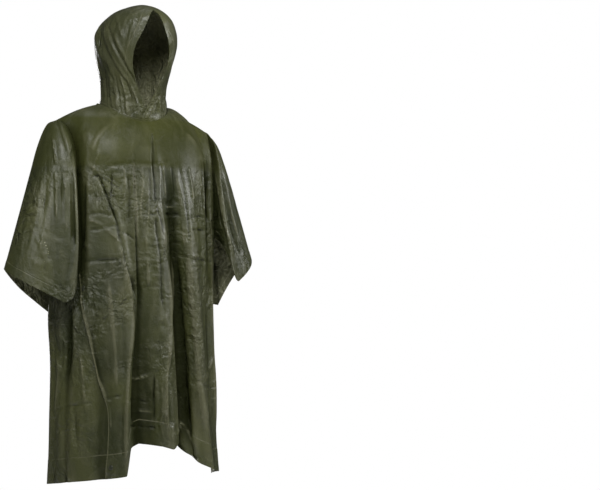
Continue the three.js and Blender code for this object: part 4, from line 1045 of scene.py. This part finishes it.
def sleeve_grid(cloth, rows, trunk, sleeve, facing, columns, fold_columns):
    last = CAD_ROWS[3] if sleeve.side < 0 else CAD_ROWS[2]
    kept = rows <= last
    t = rows[kept] / last
    at_right = sleeve.side < 0
    column = 0 if at_right else -1
    valley = trunk[kept][:, column]
    corner_table = sleeve.front_corner if facing > 0 else sleeve.back_corner
    fullness = sleeve.front_fullness if facing > 0 else sleeve.back_fullness

    def read(table):
        return np.stack([along(table, "t", t, axis) for axis in "xyz"], axis=1)

    arm = read(sleeve.arm)
    corner = read(corner_table)
    share = np.linspace(0, 1, columns + 1)[None]
    quarter = np.radians(share * 90)
    across = mix(share, 1 - np.cos(quarter), fullness)
    over = place(
        mix(arm[:, :1], corner[:, :1], across),
        corner[:, 1:2] * mix(share, np.sin(quarter), fullness),
        mix(arm[:, 2:], corner[:, 2:], mix(share, across, 0.4)),
    )
    reach = np.linalg.norm(corner - valley, axis=1)[:, None]
    inward = corner - arm
    inward[:, 2] = 0
    inward /= np.maximum(np.linalg.norm(inward, axis=1), 1e-9)[:, None]
    to_corner = np.array([sleeve.side * 0.55, -facing * 0.75, -0.2])
    to_corner /= np.linalg.norm(to_corner)
    s = np.linspace(0, 1, fold_columns + 1)[None, 1:, None]
    fold = bezier(
        corner[:, None], (corner + 0.45 * reach * inward)[:, None],
        (valley + 0.4 * reach * to_corner)[:, None], valley[:, None], s,
    )
    fold[:, -1] = valley
    points = np.concatenate([over, fold], axis=1)
    points[0] = trunk[0, column]
    from_top = row_lengths(points)
    from_cuff = from_top[-1] - from_top
    to_valley = np.linspace(1, 0, points.shape[1])[None]
    weight = smooth_step(0, 0.08, to_valley) * np.ones((len(t), 1))
    on_arm = np.zeros(points.shape[:2])
    on_arm[1:, 0] = 2
    on_arm[0] = 2
    from_arm = column_lengths(points)
    values = {
        "cuff_line": from_cuff - HEM_WIDTH,
        "extra": np.where(from_cuff <= HEM_WIDTH, HEM_EXTRA, 0),
        "level": on_arm,
        "pin": smooth_step(0, SEAM_CALM, np.minimum(from_arm, from_top + 4)),
        "own_u": (RIGHT_ARM_START if at_right else LEFT_ARM_START) + from_arm,
        "own_v": from_top,
    }
    if facing > 0:
        values["near" if at_right else "far"] = weight
    else:
        values["own"] = weight
    same_sense = sleeve.side * facing < 0
    cloth.add(points, turned=not same_sense, **values)


FRONT_ROWS = RowPlan(48, 36, 20, 104, 8)
BACK_ROWS = RowPlan(48, 36, 20, 110, 8)


def body_panel(facing):
    cloth = Cloth()
    rows = row_levels(FRONT_ROWS if facing > 0 else BACK_ROWS)
    trunk = trunk_grid(cloth, rows, facing, 92)
    if facing < 0:
        side_grid(cloth, rows, trunk, True, 64)
        side_grid(cloth, rows, trunk, False, 40)
    for sleeve in (RIGHT_SLEEVE, LEFT_SLEEVE):
        sleeve_grid(cloth, rows, trunk, sleeve, facing, 40, 14)
    cloth.weld()
    return cloth


# Hood

def hood_point(side, turn, z):
    turn, z = np.broadcast_arrays(np.asarray(turn, float), np.asarray(z, float))
    soft = np.clip(np.minimum(CROWN_Z - z, z - HOOD_LOW_Z), 0, 9)
    y, half, front, back = (
        sum(straight_along(HOOD_SECTIONS, "z", z + soft * k / 3, column) for k in range(-3, 4)) / 7
        for column in ("y", "half", "front", "back")
    )
    across = np.sin(np.radians(turn))
    ahead = np.cos(np.radians(turn))
    depth = np.where(ahead > 0, front, back)
    fold = np.zeros_like(z)
    for row in HOOD_FOLDS:
        if row.side == side:
            rise = np.clip((z - row.low) / (row.high - row.low), 0, 1)
            centre = row.angle + row.drift * rise
            fade = 1 - rise if row.low < 0 else np.sin(np.pi * rise)
            fold += row.depth * fade * bump(turn_between(turn, centre), row.width, row.width)
    near_seam = smooth_step(0, 30, z - neck_height(turn))
    chin = smooth_step(CHIN_LAP_ANGLE, CHIN_LAP_ANGLE - 12, turn)
    chin = chin * smooth_step(CHIN_LAP_TOP, CHIN_LAP_TOP - 25, z)
    lap = -(LAP_INSET + 1) * chin if side < 0 else 0
    centred = smooth_step(180, 168, turn) * smooth_step(CROWN_Z, CROWN_Z - 30, z)
    move = fold * near_seam * centred + lap
    outward = np.stack([across / np.maximum(half, 20), -ahead / depth])
    outward /= np.hypot(*outward)
    x = side * (half * across + outward[0] * move)
    return place(x, y - depth * ahead + outward[1] * move, z)


def rim_turn(z):
    opening = straight_along(FACE_OPENING, "z", z, "half")
    half = straight_along(HOOD_SECTIONS, "z", z, "half")
    turn = np.degrees(np.arcsin(np.clip(opening / np.maximum(half, 1), -1, 1)))
    return np.where(z >= FACE_TOP_Z, 0, turn)


def hood_half(side):
    cloth = Cloth()
    rising = mix(HOOD_LOW_Z, CROWN_Z, np.sin(np.linspace(0, math.pi / 2, 97)))
    shares = np.linspace(0, 1, 19)
    skirt = np.array([-NECK_SKIRT, -3, 0, 3, 6, 9, 14])

    def heights(turn):
        low = neck_height(turn)
        seam = low + skirt
        gathers = mix(low + 19, HOOD_LOW_Z, shares[:-1])
        return np.concatenate([seam, gathers, rising])

    rim_heights = heights(0.0)
    start = rim_turn(rim_heights)
    casing = math.degrees(HEM_WIDTH / 118)
    edge_columns = [mix(0, casing, i / 8) for i in range(9)]
    columns = [start + width for width in edge_columns]
    columns += [mix(start + casing, 180, i / 88) for i in range(1, 89)]
    turns = np.stack(columns, axis=1)
    z = np.stack(
        [[heights(abs(turn))[r] for turn in turns[r]] for r in range(len(rim_heights))]
    )
    points = hood_point(side, turns, z)
    open_row = rim_heights < FACE_TOP_Z
    closed = np.zeros(points.shape[:2], bool)
    closed[~open_row, 0] = True
    closed[:, -1] = True
    closed[-1] = True
    points[closed, 0] = 0
    from_rim = column_lengths(points)
    from_back = from_rim[:, -1:] - from_rim
    from_neck = row_lengths(points)
    rim_line = np.where(open_row[:, None], from_rim - 21, FAR_AWAY)
    centre = np.where(open_row[:, None], FAR_AWAY, from_rim)
    calm_at_neck = smooth_step(5, 26, from_neck)
    calm_at_seam = 0.35 + 0.65 * smooth_step(0, 12, np.minimum(from_back, centre))
    calm_at_rim = np.where(open_row[:, None], 0.4 + 0.6 * smooth_step(0, 18, from_rim), 1)
    values = {
        "level": np.where(closed, 1, 0),
        "cuff_line": rim_line,
        "seam_line": np.minimum(from_back, centre) - 6,
        "side_line": from_neck - NECK_SKIRT - 7,
        "extra": np.where((rim_line <= 0) & (from_neck > 12), HEM_EXTRA, 0),
        "hood": np.ones(points.shape[:2]),
        "pin": calm_at_neck * calm_at_seam * calm_at_rim,
    }
    cloth.add(points, turned=side > 0, **values)
    cloth.weld()
    return cloth


# Materials

def node(tree, kind, settings=None, **inputs):
    """Adds a node. An input is named, or is i and its number; it is a value or a socket."""
    made = tree.nodes.new(kind)
    for key, value in (settings or {}).items():
        setattr(made, key, value)
    for key, value in inputs.items():
        numbered = key[0] == "i" and key[1:].isdigit()
        fill(tree, made.inputs[int(key[1:]) if numbered else key.replace("_", " ")], value)
    return made


def fill(tree, socket, value):
    if isinstance(value, bpy.types.NodeSocket):
        tree.links.new(value, socket)
    else:
        socket.default_value = value


def worked(tree, operation, first, second=0.0):
    return node(tree, "ShaderNodeMath", {"operation": operation}, i0=first, i1=second).outputs[0]


def vector(tree, operation, first, second):
    settings = {"operation": operation}
    return node(tree, "ShaderNodeVectorMath", settings, i0=first, i1=second).outputs[0]


def ranged(tree, value, low, high, to_low, to_high):
    made = node(tree, "ShaderNodeMapRange", {"interpolation_type": "SMOOTHSTEP"}, Value=value)
    numbers = {"From Min": low, "From Max": high, "To Min": to_low, "To Max": to_high}
    for name, number in numbers.items():
        made.inputs[name].default_value = number
    return made.outputs["Result"]


def mixed(tree, share, first, second):
    made = node(tree, "ShaderNodeMix", {"data_type": "RGBA"}, i0=share, i6=first, i7=second)
    return made.outputs[2]


def attribute(tree, key):
    return node(tree, "ShaderNodeAttribute", {"attribute_name": key}).outputs["Fac"]


def grain(tree, where, scale, detail, roughness=0.5, distortion=0.0):
    made = node(
        tree, "ShaderNodeTexNoise", None, Vector=where, Scale=scale, Detail=detail,
        Roughness=roughness, Distortion=distortion,
    )
    return made.outputs["Fac"]


def wander(tree, where, scale, detail, size):
    """A slow random shift of the places."""
    made = node(tree, "ShaderNodeTexNoise", None, Vector=where, Scale=scale, Detail=detail)
    settings = {"operation": "SCALE"}
    return node(tree, "ShaderNodeVectorMath", settings, i0=made.outputs["Color"], Scale=size).outputs[0]


def stretched(tree, where, shares, shift):
    return vector(tree, "ADD", vector(tree, "MULTIPLY", where, shares), shift)


def bumped(tree, height, distance, strength=1.0, below=None):
    made = node(tree, "ShaderNodeBump", None, Strength=strength, Distance=distance, Height=height)
    if below is not None:
        tree.links.new(below, made.inputs["Normal"])
    return made.outputs[0]


def start_material(name):
    material = bpy.data.materials.new(name)
    material.use_nodes = True
    tree = material.node_tree
    shader = tree.nodes["Principled BSDF"]
    where = node(tree, "ShaderNodeTexCoord").outputs["Object"]
    return material, tree, shader, where


# Painted shade: the near-black that troughs, clefts and hollows are darkened towards
CREVICE_PAINTED_SHADE = (0.010, 0.012, 0.004, 1)
# Painted shade: the darker, more saturated colour that the smooth yoke is tinted towards
YOKE_PAINTED_SHADE = (0.050, 0.053, 0.013, 1)
CLOTH_IOR = 1.48
COAT_ROUGHNESS = 0.24
LINES = ("hem_line", "cuff_line", "side_line", "seam_line")
Finish = namedtuple("Finish", "deep mid pale rough least_crinkled")


def crinkled_places(tree, where):
    """Where the cloth is crinkled: less on the yoke and near the hem, all of it on the hood."""
    x, _, z = node(tree, "ShaderNodeSeparateXYZ", None, i0=where).outputs
    aside = worked(tree, "ABSOLUTE", x)
    below_yoke = ranged(tree, z, -0.18, -0.13, 1, 0.25)
    on_sleeves = ranged(tree, aside, 0.14, 0.21, 0, 0.42)
    crinkled = worked(tree, "MAXIMUM", below_yoke, on_sleeves)
    crinkled = worked(tree, "MAXIMUM", crinkled, ranged(tree, z, -0.03, 0.02, 0, 1.0))
    crinkled = worked(tree, "MINIMUM", crinkled, ranged(tree, z, -0.75, -0.5, 0.55, 1))
    return crinkled, z


def cloth_colour(tree, where, finish, hollow, line, crinkled, z):
    """Blotches, paler crests and edges as painted highlights, dark troughs as painted shade, and pale pressed
    lines that are partly the sealed line and partly a painted highlight; the hood is painted a little paler and
    the yoke darker, as painted light and shade.
    """
    deep, mid, pale = finish.deep, finish.mid, finish.pale
    blotch = grain(tree, vector(tree, "MULTIPLY", where, (1, 1, 0.6)), 7.0, 4.0, 0.55, 0.6)
    streak = grain(tree, vector(tree, "MULTIPLY", where, (1, 1, 0.28)), 26.0, 5.0, 0.6, 1.2)
    tall = stretched(tree, where, (1, 1, 0.22), wander(tree, where, 5.0, 4.0, 0.22))
    panes = node(tree, "ShaderNodeTexVoronoi", None, Vector=tall, Scale=24.0).outputs["Color"]
    tone = node(tree, "ShaderNodeSeparateXYZ", None, i0=panes).outputs[0]
    relief, crisp, cleft = (attribute(tree, key) for key in ("relief", "crisp", "cleft"))
    # From none of the other colour at low to its share at high
    shades = [
        (blotch, 0.34, 0.68, 1, mid),
        (streak, 0.45, 0.8, 0.3, pale),
        (tone, 0.55, 1.0, 0.12, pale),
        (tone, 0.45, 0.0, 0.2, deep),
        # Painted shade: troughs, sharp clefts and hollows darkened
        (relief, -1.0, -6.0, 0.35, deep),
        (cleft, 0.1, 1.0, 0.7, CREVICE_PAINTED_SHADE),
        (hollow, 1.0, -6.5, 0.85, CREVICE_PAINTED_SHADE),
        # Painted highlight: raised parts and crests made paler
        (hollow, 2.0, 9.0, 0.22, pale),
        (crisp, 0.8, 5.0, 0.4, pale),
    ]
    colour = deep
    for value, low, high, share, other in shades:
        colour = mixed(tree, ranged(tree, value, low, high, 0, share), colour, other)
    # Painted highlight: a pale band a few millimetres wide along the front panel's free side edges
    colour = mixed(tree, ranged(tree, attribute(tree, "edge"), 1.2, 4.5, 0.75, 0), colour, pale)
    # Pale lines along hems, cuffs, seams and the hood's casing: partly the sealed line itself, partly a painted
    # highlight on the fold
    pressed = ranged(tree, line, 0.5, 1.8, 1, 0)
    broken = ranged(tree, grain(tree, where, 18.0, 3.0), 0.42, 0.62, 0.1, 0.75)
    colour = mixed(tree, worked(tree, "MULTIPLY", pressed, broken), colour, pale)
    # Painted light: the hood, above the neck, made a little paler
    colour = mixed(tree, ranged(tree, z, -0.02, 0.04, 0, 0.1), colour, pale)
    # Painted shade: where the cloth is least crinkled, mostly on the yoke, the colour is darkened and saturated
    # towards the yoke shade colour
    return mixed(tree, ranged(tree, crinkled, 0.25, 0.6, 0.35, 0), colour, YOKE_PAINTED_SHADE)


def cloth_surface(tree, where, finish, line, crinkled):
    """Crinkles in two directions, fine grain, grooves along the pressed lines and skin."""
    shift = wander(tree, where, 9.0, 3.0, 0.12)
    upright = stretched(tree, where, (1, 1, 0.42), shift)
    level = stretched(tree, where, (0.5, 0.5, 1.3), shift)
    gathered = grain(tree, where, 6.0, 3.0, 0.5, 0.4)
    strength = worked(
        tree, "MULTIPLY", crinkled, ranged(tree, gathered, 0.42, 0.6, finish.least_crinkled, 1)
    )
    normal = None
    for places, scale, detail, distance in ((upright, 30.0, 2.0, 0.0085), (level, 46.0, 1.0, 0.003)):
        facets = node(
            tree, "ShaderNodeTexVoronoi", None, Vector=places, Scale=scale, Detail=detail, Roughness=0.5
        )
        normal = bumped(tree, facets.outputs["Distance"], distance, strength, normal)
    normal = bumped(tree, grain(tree, where, 150.0, 5.0, 0.62, 1.6), 0.0011, below=normal)
    normal = bumped(tree, ranged(tree, line, 0.2, 2.0, 0, 1), 0.0006, below=normal)
    return bumped(tree, grain(tree, where, 1400.0, 2.0), 0.00003, below=normal)


def coated_cloth(name, finish):
    material, tree, shader, where = start_material(name)
    hollow = attribute(tree, "hollow")
    line = None
    for key in LINES:
        value = worked(tree, "ABSOLUTE", attribute(tree, key))
        line = value if line is None else worked(tree, "MINIMUM", line, value)
    crinkled, z = crinkled_places(tree, where)
    dull = ranged(tree, crinkled, 0.25, 0.6, 0.3, 1)
    shine = worked(tree, "MULTIPLY", ranged(tree, hollow, 2.0, -7.0, 0.44, 0.06), dull)
    glaze = worked(tree, "MULTIPLY", ranged(tree, hollow, 2.0, -5.0, 0.2, 0.0), dull)
    patch = grain(tree, where, 34.0, 4.0, 0.6, 0.8)
    rough = ranged(tree, patch, 0.3, 0.7, finish.rough - 0.06, finish.rough + 0.1)
    looks = {
        "Base Color": cloth_colour(tree, where, finish, hollow, line, crinkled, z),
        "Roughness": rough,
        "IOR": CLOTH_IOR,
        "Specular IOR Level": shine,
        "Coat Weight": glaze,
        "Coat Roughness": COAT_ROUGHNESS,
        "Normal": cloth_surface(tree, where, finish, line, crinkled),
    }
    for key, value in looks.items():
        fill(tree, shader.inputs[key], value)
    return material


def snap_metal(name):
    """Painted snap: dark olive with paler worn rims."""
    material, tree, shader, where = start_material(name)
    worn = grain(tree, where, 260.0, 4.0, 0.6)
    paint, bare = (0.030, 0.033, 0.020, 1), (0.11, 0.115, 0.08, 1)
    colour = mixed(tree, ranged(tree, worn, 0.5, 0.75, 0, 0.6), paint, bare)
    fill(tree, shader.inputs["Base Color"], colour)
    fill(tree, shader.inputs["Roughness"], ranged(tree, worn, 0.3, 0.8, 0.28, 0.5))
    fill(tree, shader.inputs["Normal"], bumped(tree, worn, 0.0001, 0.5))
    return material


def plain_floor(name):
    material, tree, shader, where = start_material(name)
    tone = ranged(tree, grain(tree, where, 3.0, 2.0), 0.3, 0.7, 0, 1)
    colour = mixed(tree, tone, (0.86, 0.86, 0.86, 1), (0.89, 0.89, 0.89, 1))
    fill(tree, shader.inputs["Base Color"], colour)
    fill(tree, shader.inputs["Roughness"], 0.9)
    return material


# Camera: level, seen from the front left of the object
scene = bpy.context.scene
CAMERA_PAN = math.radians(7.62)
camera_data = bpy.data.cameras.new("camera")
camera_data.lens = 75.1
camera_data.sensor_width = 36
camera_data.shift_y = -0.007
camera_data.clip_end = 50
camera = bpy.data.objects.new("camera", camera_data)
camera.location = (
    -VIEW_DISTANCE * METRE * math.sin(VIEW_TURN),
    -VIEW_DISTANCE * METRE * math.cos(VIEW_TURN),
    VIEW_HEIGHT * METRE,
)
camera.rotation_euler = (math.radians(90), 0, -(VIEW_TURN + CAMERA_PAN))
scene.collection.objects.link(camera)
scene.camera = camera

# Floor
FLOOR_Z = -1.5
FLOOR_RADIUS = 2.0
FLOOR_SIDES = 96
floor_mesh = bpy.data.meshes.new("floor")
turns = [2 * math.pi * i / FLOOR_SIDES for i in range(FLOOR_SIDES)]
ring = [(FLOOR_RADIUS * math.cos(turn), FLOOR_RADIUS * math.sin(turn), FLOOR_Z) for turn in turns]
floor_mesh.from_pydata(ring, [], [tuple(range(FLOOR_SIDES))])
floor_mesh.materials.append(plain_floor("pale_floor"))
floor = bpy.data.objects.new("floor", floor_mesh)
scene.collection.objects.link(floor)

# Square lamps: places and sizes in metres, power in watts
LAMPS = rows("name place aim size power", [
    ("key_light", (-0.75, -1.9, 1.4), (0, 0, -0.25), 0.8, 52),
    ("fill_light", (0.9, -2.8, 0.8), (0, 0, -0.2), 0.8, 15),
    ("top_light", (0.2, 0.3, 2.6), (0, 0, -0.2), 1.0, 7),
    ("back_light", (0.6, 3.0, -0.3), (0, 0, -0.4), 1.6, 52),
    ("hood_light", (-1.7, -1.0, 0.3), (0, 0, 0.12), 0.5, 7),
    ("far_light", (2.35, -1.2, 0.4), (0.36, 0, -0.2), 0.7, 32),
])
for lamp in LAMPS:
    data = bpy.data.lights.new(lamp.name, "AREA")
    data.shape = "SQUARE"
    data.size = lamp.size
    data.energy = lamp.power
    light = bpy.data.objects.new(lamp.name, data)
    light.location = lamp.place
    direction = Vector(lamp.aim) - Vector(lamp.place)
    light.rotation_euler = direction.to_track_quat("-Z", "Y").to_euler()
    scene.collection.objects.link(light)

# Surroundings: white behind the object, and a weak glow that lights it
GLOW_STRENGTH = 0.06
world = bpy.data.worlds.new("surroundings")
world.use_nodes = True
scene.world = world
tree = world.node_tree
tree.nodes.clear()
seen = node(tree, "ShaderNodeLightPath").outputs["Is Camera Ray"]
glow, backdrop = (
    node(tree, "ShaderNodeBackground", None, Color=(1, 1, 1, 1), Strength=strength).outputs[0]
    for strength in (GLOW_STRENGTH, 1.0)
)
both = node(tree, "ShaderNodeMixShader", None, i0=seen, i1=glow, i2=backdrop)
node(tree, "ShaderNodeOutputWorld", None, Surface=both.outputs[0])
scene.view_settings.view_transform = "Standard"
scene.view_settings.look = "None"

# Pieces
OUTSIDE = Finish(
    (0.029, 0.034, 0.010, 1), (0.060, 0.065, 0.020, 1), (0.138, 0.136, 0.078, 1),
    rough=0.42, least_crinkled=0.12,
)
# Painted light: the inside is a much paler version of the same cloth, standing in for the light that falls
# inside the hood and sleeves
INSIDE_PAINTED_LIGHTER = Finish(
    (0.150, 0.154, 0.080, 1), (0.280, 0.286, 0.160, 1), (0.460, 0.452, 0.320, 1),
    rough=0.5, least_crinkled=1.0,
)
outside = coated_cloth("coated_cloth_outside", OUTSIDE)
inside = coated_cloth("coated_cloth_inside", INSIDE_PAINTED_LIGHTER)
snap_look = snap_metal("snap_paint")

# The cloth lies calm round each snap
calm_spots = []
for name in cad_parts:
    if name.startswith("snap_"):
        low, high = (np.array(corner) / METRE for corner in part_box(name))
        calm_spots.append((low + high) / 2)
        for slot in bpy.data.objects[name].material_slots:
            slot.material = snap_look

pieces = {}
for name, facing in (("front_panel", 1), ("back_panel", -1)):
    cloth = body_panel(facing)
    cloth.crease(FRONT_CREASES, BACK_CREASES, calm_spots)
    pieces[name] = cloth.make(f"{name}_cloth", outside, inside)
for name, side in (("hood_right", -1), ("hood_left", 1)):
    cloth = hood_half(side)
    cloth.crease(HOOD_CREASES, [], [])
    pieces[name] = cloth.make(f"{name}_cloth", outside, inside)

for name, piece in pieces.items():
    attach(piece, "root")
    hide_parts(name)
